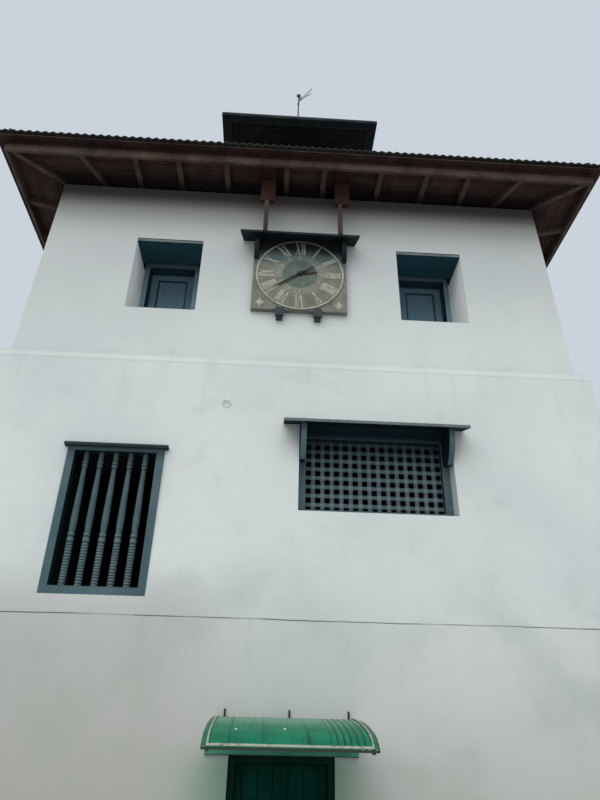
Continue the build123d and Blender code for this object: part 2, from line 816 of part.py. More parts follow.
# Two wide beams come out over the clock with a block under each, and a post drops to the hood.
hanger_face = -wall_half - hanger_proud
hanger_foot_z = wall_top_z - hanger_drop
with BuildPart() as tie_beams:
    for place in hanger_places:
        with BuildSketch(Plane.YZ.offset(place - hanger_wide / 2)):
            add(eave_layer(0, rafter_deep))
            with BuildLine():
                Polyline(
                    (hanger_face, hanger_foot_z),
                    (hanger_face, soffit_z(-hanger_face) + rafter_deep),
                    (hanger_face + hanger_thick, soffit_z(-hanger_face) + rafter_deep),
                    (hanger_face + hanger_thick, hanger_foot_z),
                    close=True,
                )
            make_face()
        extrude(amount=hanger_wide)
save(tie_beams, "tie_beam_ends")

post_y = hanger_face + hanger_thick / 2
post_foot = clock_hood_z + hood_thick - (-post_y - upper_half(clock_hood_z)) * hood_fall
post_lean = post_side / 2 * hood_fall
with BuildPart() as hood_posts:
    for place in post_places:
        with BuildSketch(Plane.YZ.offset(place - post_side / 2)):
            with BuildLine():
                Polyline(
                    (post_y - post_side / 2, post_foot - post_lean),
                    (post_y + post_side / 2, post_foot + post_lean),
                    (post_y + post_side / 2, hanger_foot_z),
                    (post_y - post_side / 2, hanger_foot_z),
                    close=True,
                )
            make_face()
        extrude(amount=post_side)
save(hood_posts, "hood_posts")

# Lantern: four corner posts, louvre blades between them, and a small hipped roof.
lantern_eave_z = lantern_foot_z + lantern_high
lantern_top_z = lantern_eave_z + lantern_rim_high
lantern_soffit_z = lantern_top_z - soffit_thick
with BuildPart() as lantern_frame:
    with BuildSketch(Plane.XY.offset(lantern_foot_z - roof_thick)):
        with GridLocations(2 * lantern_half - lantern_post, 2 * lantern_half - lantern_post, 2, 2):
            Rectangle(lantern_post, lantern_post)
    extrude(amount=lantern_soffit_z - lantern_foot_z + roof_thick)
    for top in (lantern_soffit_z, lantern_foot_z):
        with BuildSketch(Plane.XY.offset(top)):
            Rectangle(2 * lantern_half, 2 * lantern_half)
            Rectangle(2 * lantern_half - 2 * lantern_post, 2 * lantern_half - 2 * lantern_post,
                      mode=Mode.SUBTRACT)
        extrude(amount=-lantern_post)
save(lantern_frame, "lantern_frame")

louvre_span = lantern_soffit_z - lantern_post - lantern_foot_z
with BuildPart() as front_louvres:
    for index in range(louvre_count):
        z = lantern_foot_z + (index + 0.5) * louvre_span / louvre_count
        with BuildSketch(Plane.YZ.offset(-lantern_half + lantern_post)):
            with Locations((-lantern_half + lantern_post / 2, z)):
                Rectangle(louvre_thick, louvre_wide, rotation=louvre_tilt)
        extrude(amount=2 * lantern_half - 2 * lantern_post)
save(around(front_louvres.part), "lantern_louvres")

rim_inner = lantern_roof_half - lantern_rim_wide
with BuildPart() as lantern_fascia:
    with BuildSketch(Plane.XY.offset(lantern_eave_z)):
        Rectangle(2 * lantern_roof_half, 2 * lantern_roof_half)
        Rectangle(2 * rim_inner, 2 * rim_inner, mode=Mode.SUBTRACT)
    extrude(amount=lantern_rim_high)
save(lantern_fascia, "lantern_fascia")

with BuildPart() as lantern_soffit:
    with BuildSketch(Plane.XY.offset(lantern_soffit_z)):
        Rectangle(2 * rim_inner, 2 * rim_inner)
    extrude(amount=soffit_thick)
save(lantern_soffit, "lantern_soffit")

lantern_rise = lantern_roof_half * tan(radians(lantern_pitch))
with BuildSketch() as lantern_slope:
    with BuildLine():
        Polyline(
            (-lantern_roof_half, lantern_top_z),
            (-lantern_roof_half, lantern_top_z + lantern_roof_thick),
            (0, lantern_top_z + lantern_roof_thick + lantern_rise),
            (0, lantern_top_z + lantern_rise),
            close=True,
        )
    make_face()
with BuildPart() as lantern_roof:
    add(around(mitred(lantern_slope.sketch, lantern_roof_half)).part)
    with BuildSketch(Plane.XY.offset(lantern_top_z)):
        Circle(pole_radius)
    extrude(amount=2 * lantern_rise, mode=Mode.SUBTRACT)
save(lantern_roof, "lantern_roof")

# Weather vane: a forked tail on a sleeve with a ball, on the spindle of its pole.
vane_tail = ((0.04, 0.1), (0.35, 0.18), (0.9, 0.08), (0.93, 0.15), (0.48, 0.26), (1.0, 0.48),
             (0.97, 0.56), (0.35, 0.38), (0.04, 0.45))
vane_z = lantern_top_z + pole_high
with BuildPart() as vane_pole:
    for radius, foot, top in ((pole_radius, lantern_top_z, vane_z - collar_high),
                              (collar_radius, vane_z - collar_high, vane_z),
                              (spindle_radius, vane_z, vane_z + spindle_high)):
        with BuildSketch(Plane.XY.offset(foot)):
            Circle(radius)
        extrude(amount=top - foot)
save(vane_pole, "vane_pole")

with BuildPart() as weathervane:
    with BuildSketch(Plane.XY.offset(vane_z)):
        Circle(sleeve_radius)
    extrude(amount=sleeve_high)
    with Locations((0, 0, vane_z + sleeve_high + vane_ball_radius - sleeve_radius / 4)):
        Sphere(vane_ball_radius)
    tail_side = (cos(radians(vane_turn)), sin(radians(vane_turn)), 0)
    with BuildSketch(Plane((0, 0, vane_z), x_dir=tail_side, z_dir=(tail_side[1], -tail_side[0], 0))):
        with BuildLine():
            tail_points = [(across * vane_reach, high * vane_reach) for across, high in vane_tail]
            Polyline((0, tail_points[0][1]), *tail_points, (0, tail_points[-1][1]), close=True)
        make_face()
    extrude(amount=vane_thick / 2, both=True)
    with BuildSketch(Plane.XY.offset(vane_z)):
        Circle(spindle_radius + pin_clearance)
    extrude(amount=spindle_high + pin_clearance, mode=Mode.SUBTRACT)
save(weathervane, "weathervane")

# Canopy over the door: a curved sheet on a light frame, with trims over it and hooks above.
canopy_wall_z = door_head_z + canopy_rise
canopy_wall_y = -lower_half(canopy_wall_z - canopy_sheet_thick - canopy_strip)
canopy_front = (canopy_wall_y - canopy_proud, canopy_wall_z - canopy_fall)


def canopy_section(thick, lift):
    """Strip of the canopy seen from its end, lift above the sheet's upper face."""
    out, down = canopy_shoulder
    with BuildSketch() as section:
        with BuildLine():
            for drop in (0, thick):
                rise = lift - drop
                back = ThreePointArc(
                    (canopy_wall_y, canopy_wall_z + rise),
                    (canopy_wall_y - out / 2, canopy_wall_z - down / 2 + canopy_bulge + rise),
                    (canopy_wall_y - out, canopy_wall_z - down + rise),
                )
                TangentArc(back @ 1, (canopy_front[0], canopy_front[1] + rise), tangent=back % 1)
                Line((canopy_wall_y, canopy_wall_z + lift), (canopy_wall_y, canopy_wall_z + lift - thick))
            Line((canopy_front[0], canopy_front[1] + lift),
                 (canopy_front[0], canopy_front[1] + lift - thick))
        make_face()
    return section.sketch


with BuildPart() as canopy_sheet:
    with BuildSketch(Plane.YZ.offset(canopy_x - canopy_wide / 2)):
        add(canopy_section(canopy_sheet_thick, 0))
    extrude(amount=canopy_wide)
save(canopy_sheet, "canopy_sheet")

strip_place = canopy_wide / 2 - canopy_inset
with BuildPart() as front_trim:
    with BuildSketch(Plane.YZ.offset(canopy_x - strip_place)):
        add(canopy_section(canopy_sheet_thick, canopy_sheet_thick))
    extrude(amount=2 * strip_place)
    with BuildSketch(Plane.XY.offset(canopy_front[1])):
        with Locations((canopy_x, canopy_front[0] + trim_back)):
            Rectangle(canopy_wide, trim_wide)
    extrude(amount=canopy_fall, mode=Mode.INTERSECT)
with BuildPart() as canopy_frame:
    for side in (-1, 1):
        with BuildSketch(Plane.YZ.offset(canopy_x + side * strip_place - canopy_strip / 2)):
            add(canopy_section(canopy_strip, -canopy_sheet_thick))
        extrude(amount=canopy_strip)
        with BuildSketch(Plane.YZ.offset(canopy_x + side * strip_place - trim_wide / 2)):
            add(canopy_section(canopy_sheet_thick, canopy_sheet_thick))
        extrude(amount=trim_wide)
    add(front_trim.part)
    with BuildSketch(Plane.XY.offset(canopy_front[1] - canopy_sheet_thick)):
        with Locations((canopy_x, canopy_front[0] + lip_deep / 2)):
            Rectangle(canopy_wide, lip_deep)
    extrude(amount=-canopy_lip_high)
    for place in hook_places:
        add(wall_strip(canopy_x + place, hook_wide, canopy_wall_z, canopy_wall_z + hook_high, lower_half,
                       hook_proud))
save(canopy_frame, "canopy_frame")

# Door frame with a threshold, a lintel board on the wall, and one leaf hung to open inward.
frame_y = -lower_half(0) + door_recess
frame_back = frame_y + door_frame_deep
with BuildPart() as door_frame:
    add(frame_solid(door_x, frame_y, door_wide, 0, door_head_z, door_frame_face, door_frame_deep))
    add(wall_strip(door_x, door_wide + 2 * lintel_end, door_head_z, door_head_z + lintel_high, lower_half,
                   lintel_proud))
save(door_frame, "door_frame")

hinge_x = door_x - door_wide / 2 + door_frame_face + leaf_gap / 2
hinge_y = frame_back + hinge_offset
leaf_z = (door_frame_face + leaf_gap, door_head_z - door_frame_face - leaf_gap)
strap_levels = (leaf_z[0] + strap_inset, leaf_z[1] - strap_inset)
with BuildPart() as door_leaf:
    with BuildSketch(Plane.XZ.offset(-frame_back + leaf_thick)):
        with Locations((door_x, sum(leaf_z) / 2)):
            Rectangle(door_wide - 2 * door_frame_face - 2 * leaf_gap, leaf_z[1] - leaf_z[0])
    extrude(amount=-leaf_thick)
save(door_leaf, "door_leaf")

with BuildPart() as door_straps:
    for z in strap_levels:
        with BuildSketch(Plane.XY.offset(z)):
            with Locations((hinge_x + strap_long / 2, frame_back + strap_thick / 2)):
                Rectangle(strap_long, strap_thick)
            with Locations((hinge_x, hinge_y)):
                Circle(eye_radius)
                Circle(pin_radius + pin_clearance, mode=Mode.SUBTRACT)
        extrude(amount=strap_high)
save(door_straps, "door_straps")

with BuildPart() as door_pintles:
    for z in strap_levels:
        with BuildSketch(Plane.XY.offset(z - pintle_drop)):
            with Locations((hinge_x - leaf_gap - pintle_long / 2, frame_back + strap_thick)):
                Rectangle(pintle_long, 2 * strap_thick)
            with Locations((hinge_x - pintle_long / 4, hinge_y)):
                Rectangle(pintle_long, 2 * pin_radius)
        extrude(amount=-pintle_high)
        with BuildSketch(Plane.XY.offset(z - pintle_drop)):
            with Locations((hinge_x, hinge_y)):
                Circle(pin_radius)
        extrude(amount=pintle_drop + strap_high + pin_over)
save(door_pintles, "door_pintles")
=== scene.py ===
import bmesh
import bpy
import numpy as np
from mathutils import Matrix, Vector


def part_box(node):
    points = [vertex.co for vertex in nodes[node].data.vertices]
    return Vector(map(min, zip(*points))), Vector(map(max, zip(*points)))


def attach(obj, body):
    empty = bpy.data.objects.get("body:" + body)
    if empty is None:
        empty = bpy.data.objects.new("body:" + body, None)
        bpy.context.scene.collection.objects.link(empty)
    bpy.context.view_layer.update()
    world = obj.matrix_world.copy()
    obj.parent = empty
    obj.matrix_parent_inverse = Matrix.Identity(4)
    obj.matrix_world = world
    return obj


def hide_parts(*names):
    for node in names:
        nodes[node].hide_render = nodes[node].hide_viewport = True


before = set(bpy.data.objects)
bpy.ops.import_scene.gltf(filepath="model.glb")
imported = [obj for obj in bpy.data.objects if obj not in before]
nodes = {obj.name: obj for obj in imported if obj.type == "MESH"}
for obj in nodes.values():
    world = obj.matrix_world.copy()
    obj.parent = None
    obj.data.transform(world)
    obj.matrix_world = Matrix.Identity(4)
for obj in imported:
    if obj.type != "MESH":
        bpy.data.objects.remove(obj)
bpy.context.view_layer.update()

# Camera: a wide lens at eye height, six and a half metres in front of the wall and tilted
# up, as the photograph was taken.
eye = (-0.2605, -10.195, 1.75)
film_wide, lens = 36.0, 29.09
pitch, yaw, roll = np.radians((29.755, 2.5646, 1.2435))
look = np.array((np.sin(yaw) * np.cos(pitch), np.cos(yaw) * np.cos(pitch), np.sin(pitch)))
level = np.array((np.cos(yaw), -np.sin(yaw), 0.0))
above = np.cross(level, look)
right, up = np.cos(roll) * level + np.sin(roll) * above, np.cos(roll) * above - np.sin(roll) * level
turned = np.eye(4)
turned[:3] = np.column_stack((right, up, -look, eye))
camera = bpy.data.objects.new("camera", bpy.data.cameras.new("camera"))
bpy.context.collection.objects.link(camera)
camera.matrix_world = Matrix(turned.tolist())
camera.data.sensor_width, camera.data.lens = film_wide, lens
bpy.context.scene.camera = camera
bpy.context.scene.view_settings.view_transform = "Standard"


# Light: an even overcast sky with one broad soft lamp from the front left, and a pale
# backdrop that only the camera and reflections see.
def rgb(red, green, blue):
    """Linear colour from display values of 0 to 255."""
    c = np.array((red, green, blue)) / 255
    return (*np.where(c > 0.04045, ((c + 0.055) / 1.055) ** 2.4, c / 12.92), 1.0)


def node(tree, kind, inputs=(), **settings):
    """Adds a node; inputs gives (socket, value or another node's output) pairs."""
    made = tree.nodes.new(kind)
    for key, value in settings.items():
        setattr(made, key, value)
    for key, value in inputs:
        if isinstance(value, bpy.types.NodeSocket):
            tree.links.new(value, made.inputs[key])
        else:
            made.inputs[key].default_value = value
    return made


sky_strength, lamp_strength = 0.66, 2.2
lamp_tilt, lamp_turn, lamp_spread = np.radians((36, -22, 75))
world = bpy.data.worlds.new("sky")
bpy.context.scene.world = world
world.use_nodes = True
sky = world.node_tree
path = node(sky, "ShaderNodeLightPath")
seen = node(sky, "ShaderNodeMath", ((0, path.outputs["Is Camera Ray"]), (1, path.outputs["Is Glossy Ray"])),
            operation="MAXIMUM")
lit = node(sky, "ShaderNodeBackground", (("Color", (0.97, 0.99, 1.0, 1.0)), ("Strength", sky_strength)))
drop = node(sky, "ShaderNodeBackground", (("Color", rgb(202, 210, 220)), ("Strength", 1.0)))
both = node(sky, "ShaderNodeMixShader", ((0, seen.outputs[0]), (1, lit.outputs[0]), (2, drop.outputs[0])))
sky.links.new(both.outputs[0], sky.nodes["World Output"].inputs["Surface"])
lamp = bpy.data.objects.new("lamp", bpy.data.lights.new("lamp", "SUN"))
bpy.context.collection.objects.link(lamp)
lamp.data.energy, lamp.data.angle = lamp_strength, lamp_spread
lamp.data.color = (1.0, 0.985, 0.96)
lamp.rotation_euler = (lamp_tilt, 0, lamp_turn)

# Floor: a plain pale ground, which is not part of the tower. It reaches far enough that its
# edge is out of sight.
reach = 60
ground = bpy.data.meshes.new("ground")
ground.from_pydata([(-reach, -reach, 0), (reach, -reach, 0), (reach, reach, 0), (-reach, reach, 0)], [],
                   [(0, 1, 2, 3)])
floor = bpy.data.objects.new("ground", ground)
bpy.context.collection.objects.link(floor)
pale = bpy.data.materials.new("ground")
pale.use_nodes = True
pale.node_tree.nodes["Principled BSDF"].inputs["Base Color"].default_value = rgb(188, 190, 190)
pale.node_tree.nodes["Principled BSDF"].inputs["Roughness"].default_value = 0.95
ground.materials.append(pale)


# Walls: masonry under lime plaster, whitewashed many times. Rain leaves grey streaks below
# the ledge and the sills, the foot is dirty, and a crack runs along the joint between storeys.
def finish(name, roughness=0.8, specular=0.3, metallic=0.0):
    """Starts a material; returns it with its tree and the position over the object."""
    made = bpy.data.materials.new(name)
    made.use_nodes = True
    shader = made.node_tree.nodes["Principled BSDF"]
    shader.inputs["Roughness"].default_value = roughness
    shader.inputs["Specular IOR Level"].default_value = specular
    shader.inputs["Metallic"].default_value = metallic
    return made, made.node_tree, node(made.node_tree, "ShaderNodeTexCoord").outputs["Object"]


def parts(tree, vector):
    """The three numbers of a vector."""
    return node(tree, "ShaderNodeSeparateXYZ", (("Vector", vector),)).outputs


def normal_parts(tree):
    """The three numbers of the surface's own direction."""
    return parts(tree, node(tree, "ShaderNodeNewGeometry").outputs["Normal"])


def noise(tree, where, scale, detail=4.0, stretch=(1, 1, 1), rough=0.55):
    """Soft noise from 0 to 1 over a position, finer along an axis with a larger stretch."""
    spread = node(tree, "ShaderNodeMapping", (("Vector", where), ("Scale", stretch)))
    return node(tree, "ShaderNodeTexNoise", (("Vector", spread.outputs[0]), ("Scale", scale),
                                             ("Detail", detail), ("Roughness", rough))).outputs[0]


def fade(tree, value, low, high, start=0.0, end=1.0):
    """Smooth step of a value: start at low, end at high."""
    return node(tree, "ShaderNodeMapRange", ((0, value), (1, low), (2, high), (3, start), (4, end)),
                interpolation_type="SMOOTHSTEP").outputs[0]


def calc(tree, operation, *values):
    """One arithmetic node."""
    return node(tree, "ShaderNodeMath", tuple(enumerate(values)), operation=operation).outputs[0]


def off(tree, value, middle):
    """How far a value is from middle, to either side."""
    return calc(tree, "ABSOLUTE", calc(tree, "SUBTRACT", value, middle))


def blend(tree, share, under, over):
    """Colour under with colour over laid on it by share."""
    return node(tree, "ShaderNodeMix", ((0, share), (6, under), (7, over)), data_type="RGBA").outputs[2]


def mottled(tree, where, scale, detail, first, second, low=0.35, high=0.7):
    """Soft patches: the first colour where a noise is under low, the second where over high."""
    return blend(tree, fade(tree, noise(tree, where, scale, detail), low, high), first, second)


def close(tree, colour, height=None, depth=0.01, strength=0.5, roughness=None):
    """Joins colour, relief (depth in metres) and roughness to the material's shader."""
    shader = tree.nodes["Principled BSDF"]
    tree.links.new(colour, shader.inputs["Base Color"])
    if roughness is not None:
        tree.links.new(roughness, shader.inputs["Roughness"])
    if height is not None:
        relief = node(tree, "ShaderNodeBump",
                      (("Strength", strength), ("Distance", depth), ("Height", height)))
        tree.links.new(relief.outputs[0], shader.inputs["Normal"])


def dress(material, *names):
    """Gives CAD nodes this material."""
    for name in names:
        for place in nodes[name].material_slots:
            place.material = material


# Half the wall's width at the ground, how much it leans in for each metre, and the heights
# of the joint of the storeys, its crack, the ledge, the window lintels and the wall's top.
half_ground, batter = 3.73, 0.02
storey_z, crack_z, ledge_z, lintel_z, wall_top_z = 3.0, 3.028, 6.05, 8.03, 9.05
plaster, tree, where = finish("plaster", 0.93, 0.15)
x, y, z = parts(tree, where)
blot = noise(tree, where, 2.3, 8.0, rough=0.65)
streak = noise(tree, where, 5.0, 5.0, (1, 1, 0.09))
grain = noise(tree, where, 34.0, 6.0, rough=0.7)
wash = mottled(tree, where, 0.55, 6.0, rgb(204, 210, 211), rgb(194, 202, 203), 0.35, 0.68)
# The upper storey is painted darker toward the eaves, as their shade.
wash = blend(tree, fade(tree, z, ledge_z, 7.9, 0, 0.5), wash, rgb(176, 180, 182))
wash = blend(tree, fade(tree, blot, 0.52, 0.78, 0, 0.45), wash, rgb(178, 186, 186))
# Below the joint of the storeys the lime is older, and greyer toward the foot.
joint = calc(tree, "ADD", z, calc(tree, "MULTIPLY", noise(tree, where, 0.8, 4.0, (1, 1, 0.2), 0.6), 0.03))
wash = blend(tree, fade(tree, joint, 3.03, 3.01, 0, 0.12), wash, rgb(172, 172, 166))
wash = blend(tree, fade(tree, z, 3.6, 0.8, 0, 0.75), wash, rgb(158, 159, 152))
front_face = fade(tree, y, -3.0, -3.3)
worn_side = calc(tree, "MULTIPLY", fade(tree, x, -0.1, -1.4, 0, 0.42), fade(tree, z, 3.6, 3.0))
wash = blend(tree, calc(tree, "MULTIPLY", worn_side, front_face), wash, rgb(146, 144, 138))
damp = calc(tree, "MULTIPLY", fade(tree, noise(tree, where, 1.1, 7.0), 0.45, 0.7),
            fade(tree, z, 4.2, 1.2, 0, 0.6))
wash = blend(tree, damp, wash, rgb(156, 166, 158))
for top, below, strong in ((ledge_z, 1.2, 0.22), (wall_top_z, 0.5, 0.4), (storey_z, 0.9, 0.2)):
    under = calc(tree, "MULTIPLY", fade(tree, z, top - below, top - 0.02), fade(tree, z, top + 0.02, top))
    stain = calc(tree, "MULTIPLY", under, fade(tree, streak, 0.5, 0.8, 0, strong))
    wash = blend(tree, stain, wash, rgb(142, 148, 147))
# The ledge's rounded arris is painted as a highlight, with a painted shadow line below it.
arris_highlight = calc(tree, "MULTIPLY", fade(tree, z, 5.975, 6.0, 0, 0.26), fade(tree, z, ledge_z, 6.01))
wash = blend(tree, arris_highlight, wash, rgb(226, 230, 231))
ledge_shadow_line = fade(tree, off(tree, z, 5.965), 0.012, 0.003, 0, 0.2)
wash = blend(tree, ledge_shadow_line, wash, rgb(140, 146, 146))
# Painted shade under the eaves, deepest in a band just below them.
wash = blend(tree, fade(tree, z, 8.0, 9.0, 0, 0.66), wash, rgb(118, 112, 106))
wash = blend(tree, fade(tree, z, 8.62, 8.95, 0, 0.85), wash, rgb(52, 42, 38))
# Painted green light from the canopy sheet, on the wall beside the doorway.
beside_door = fade(tree, off(tree, x, -0.09), 1.0, 0.42, 0, 0.75)
canopy_light = calc(tree, "MULTIPLY", beside_door, fade(tree, z, 1.98, 1.72))
canopy_light = calc(tree, "MULTIPLY", canopy_light, fade(tree, z, 0.2, 1.4, 0.5, 1.0))
wash = blend(tree, calc(tree, "MULTIPLY", canopy_light, front_face), wash, rgb(96, 140, 118))
# The reveals of the upper windows are painted a brighter white.
inward = calc(tree, "MAXIMUM", calc(tree, "ABSOLUTE", x), calc(tree, "ABSOLUTE", y))
outer = calc(tree, "SUBTRACT", half_ground, calc(tree, "MULTIPLY", z, batter))
deep = calc(tree, "SUBTRACT", outer, inward)
bright_reveal = calc(tree, "MULTIPLY", fade(tree, deep, 0.1215, 0.125, 0, 0.95), fade(tree, z, 6.5, 6.8))
wash = blend(tree, bright_reveal, wash, rgb(242, 246, 246))
wash = blend(tree, fade(tree, normal_parts(tree)[2], 0.4, 0.8, 0, 0.75), wash, rgb(120, 124, 120))
crack = fade(tree, off(tree, joint, crack_z), 0.009, 0.002)
open_crack = fade(tree, noise(tree, where, 1.7, 4.0, (1, 1, 0.3)), 0.3, 0.6, 0.3, 0.85)
crack = calc(tree, "MULTIPLY", crack, open_crack)
wash = blend(tree, crack, wash, rgb(70, 72, 70))
# Inside, behind the frames and the lintel boards, the plaster is painted dark as shade.
frame_deep = fade(tree, z, ledge_z - 0.01, ledge_z + 0.01, 0.255, 0.80)
limit = calc(tree, "SUBTRACT", frame_deep, fade(tree, z, lintel_z - 0.002, lintel_z + 0.002, 0, 0.23))
wash = blend(tree, calc(tree, "GREATER_THAN", deep, limit), wash, rgb(40, 42, 42))
rough_coat = calc(tree, "ADD", calc(tree, "MULTIPLY", grain, 0.25), calc(tree, "SUBTRACT", blot, crack))
close(tree, wash, rough_coat, 0.012, 0.35)
dress(plaster, *(n for n in nodes if "_wall_" in n))


# Main roof: rows of curved clay tiles on boards and rafters, laid from the eave up, each
# course over the one below. The tiles are weathered dark, with pale and black growth.
def piece(name, material, patches, body="tower", corners=None, smooth=True):
    """One piece from patches of points (rows, columns, 3), each with whether its rows and
    its columns close into a ring. Neighbouring points join as quads, points that fall
    together are welded, and corners gives a texture place to each quad's four corners."""
    points, quads, first = [], [], 0
    for spots, ring_rows, ring_columns in patches:
        rows, columns = spots.shape[:2]
        i = np.arange(rows - (not ring_rows))[:, None]
        j = np.arange(columns - (not ring_columns))[None, :]
        i1, j1 = (i + 1) % rows * columns, (j + 1) % columns
        quad = np.stack((i * columns + j, i * columns + j1, i1 + j1, i1 + j), -1)
        quads.append(first + quad.reshape(-1, 4))
        points.append(spots.reshape(-1, 3))
        first += rows * columns
    mesh = bpy.data.meshes.new(name)
    mesh.from_pydata(np.concatenate(points).tolist(), [], np.concatenate(quads).tolist())
    if corners is not None:
        mesh.uv_layers.new(name="tile").data.foreach_set("uv", corners.reshape(-1).astype(np.float32))
    work = bmesh.new()
    work.from_mesh(mesh)
    bmesh.ops.remove_doubles(work, verts=work.verts, dist=1e-5)
    bmesh.ops.recalc_face_normals(work, faces=work.faces)
    work.to_mesh(mesh)
    work.free()
    mesh.polygons.foreach_set("use_smooth", np.full(len(mesh.polygons), smooth))
    mesh.materials.append(material)
    made = bpy.data.objects.new(name, mesh)
    bpy.context.collection.objects.link(made)
    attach(made, body)
    return made


tiles, tree, where = finish("roof_tiles", 0.85, 0.25)
place = node(tree, "ShaderNodeUVMap", uv_map="tile").outputs[0]
cell = node(tree, "ShaderNodeVectorMath", ((0, place),), operation="FLOOR").outputs[0]
one = node(tree, "ShaderNodeTexWhiteNoise", (("Vector", cell),), noise_dimensions="2D").outputs[0]
clay = blend(tree, one, rgb(38, 35, 36), rgb(60, 55, 54))
clay = blend(tree, fade(tree, noise(tree, where, 1.3, 6.0), 0.45, 0.7, 0, 0.7), clay, rgb(42, 44, 44))
clay = blend(tree, fade(tree, noise(tree, where, 9.0, 6.0), 0.58, 0.72, 0, 0.5), clay, rgb(84, 86, 82))
# The tiles' edge, lip and underside at the eave are painted near black as shade.
clay = blend(tree, fade(tree, parts(tree, where)[2], 9.235, 9.19, 0, 0.75), clay, rgb(22, 22, 25))
close(tree, clay, noise(tree, where, 60.0, 5.0), 0.006, 0.4)

# Half spans and heights of the roof at its eave, at the change of slope and at the lantern,
# and its length up the slope to each.
span = np.array((4.195, 3.379, 0.85))
rise = np.array((9.22, 9.5497, 11.8268))
run = np.concatenate(([0.0], np.cumsum(np.hypot(np.diff(span), np.diff(rise)))))
tile_wide, courses, per_side = 0.107, 15, 460
# The tiles' bed below that surface, the step of a course, half a wave's height, the lip at
# the eave, and the depths of the boards and rafters below.
bed, step, half_wave, lip, lip_back = 0.052, 0.021, 0.0145, 0.02, 0.045
roof_deep, bend_deep, eave_deep = 0.2, 0.105, 0.087


def roof_grid():
    """Closed surface of the tiled roof. Rows go round the section: up the tiles, down inside
    the lantern and back under the boards. Columns go round the four sides, with x = t times
    the half span there. A tile's height is a cosine across the eave plus a step that falls
    from the foot of its course to the head."""
    foot = np.arange(courses) * run[2] / courses
    s = np.stack((foot, foot + run[2] / courses), 1).reshape(-1)
    half, high = np.interp(s, run, span), np.interp(s, run, rise) - bed
    high = high + np.tile((step, 0.0), courses)
    back = span[0] - lip_back
    half = np.concatenate(([back, back, span[0]], half, span[[2, 1, 1]]))
    high = np.concatenate(([rise[0] - eave_deep, high[0] - lip, high[0] - lip], high,
                           rise[[2, 1, 1]] - (roof_deep, roof_deep, bend_deep)))
    wave = np.concatenate(([0, 1, 1], np.ones(2 * courses), [0, 0, 0]))
    t = np.linspace(-1, 1, per_side, endpoint=False)
    x = half[:, None] * t
    z = high[:, None] + wave[:, None] * half_wave * (1 + np.cos(2 * np.pi * x / tile_wide))
    y = np.broadcast_to(-half[:, None], x.shape)
    sides = [np.stack((*flat, z), -1) for flat in ((x, y), (-y, x), (-x, -y), (y, -x))]
    along = np.concatenate(([0, 0, 0], s, run[[2, 1, 1]]))
    t4 = np.stack((t, t + 2 / per_side, t + 2 / per_side, t), -1)
    row = np.arange(len(half))
    row4 = np.stack((row, row, np.roll(row, -1), np.roll(row, -1)), -1)
    u = half[row4][:, None] * t4[None] / tile_wide
    v = np.broadcast_to((along * courses / run[2])[row4][:, None], u.shape)
    return np.concatenate(sides, 1), np.tile(np.stack((u, v), -1), (1, 4, 1, 1))


grid, corners = roof_grid()
roof = piece("roof_tiles", tiles, [(grid, True, True)], corners=corners)
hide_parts("main_roof")


# Hips of the main roof: short half round tiles bedded in mortar, each over the one below,
# up the four corners from the eave to the lantern.
def capped(rings):
    """A run of closed section rings (rows, columns, 3) with both ends drawn to a point."""
    ends = np.repeat(rings[[0, -1]].mean(1, keepdims=True), rings.shape[1], 1)
    return np.concatenate((ends[:1], rings, ends[1:])), False, True


per_hip, overlap, hip_sunk = 14, 0.12, 0.02
hip_from, hip_to = 4.09, 0.9
hip_radius = np.array((0.092, 0.078))[:, None]
bow = np.linspace(np.radians(-25), np.radians(205), 13)
quarter = np.array(((0, -1, 0), (1, 0, 0), (0, 0, 1.0)))
hip_tiles = []
for turn in range(4):
    spin = np.linalg.matrix_power(quarter, turn)
    for index in range(per_hip):
        f = np.array((index, index + 1 + overlap)) / per_hip
        half = np.interp(f, (0, 1), (hip_from, hip_to))
        high = np.interp(np.interp(half, span[::-1], run[::-1]), run, rise) - hip_sunk
        side = hip_radius * np.cos(bow) / np.sqrt(2)
        crown = high[:, None] + hip_radius * np.sin(bow)
        rings = np.stack((half[:, None] + side, -half[:, None] + side, crown), -1)
        hip_tiles.append(capped(rings @ spin.T))
piece("hip_tiles", tiles, hip_tiles)


# Eaves: rafters, hip and fan rafters, two stacked fascia boards and the hangers, all of
# old brown painted hardwood, with painted shade darkening them near the wall. The soffit
# boards over them run along each side.
def from_joint(tree, count, pitch):
    """Distance to the nearest joint, where joints lie at the whole numbers of count."""
    part = calc(tree, "FRACT", count)
    nearest = calc(tree, "MINIMUM", part, calc(tree, "SUBTRACT", 1.0, part))
    return calc(tree, "MULTIPLY", nearest, pitch)


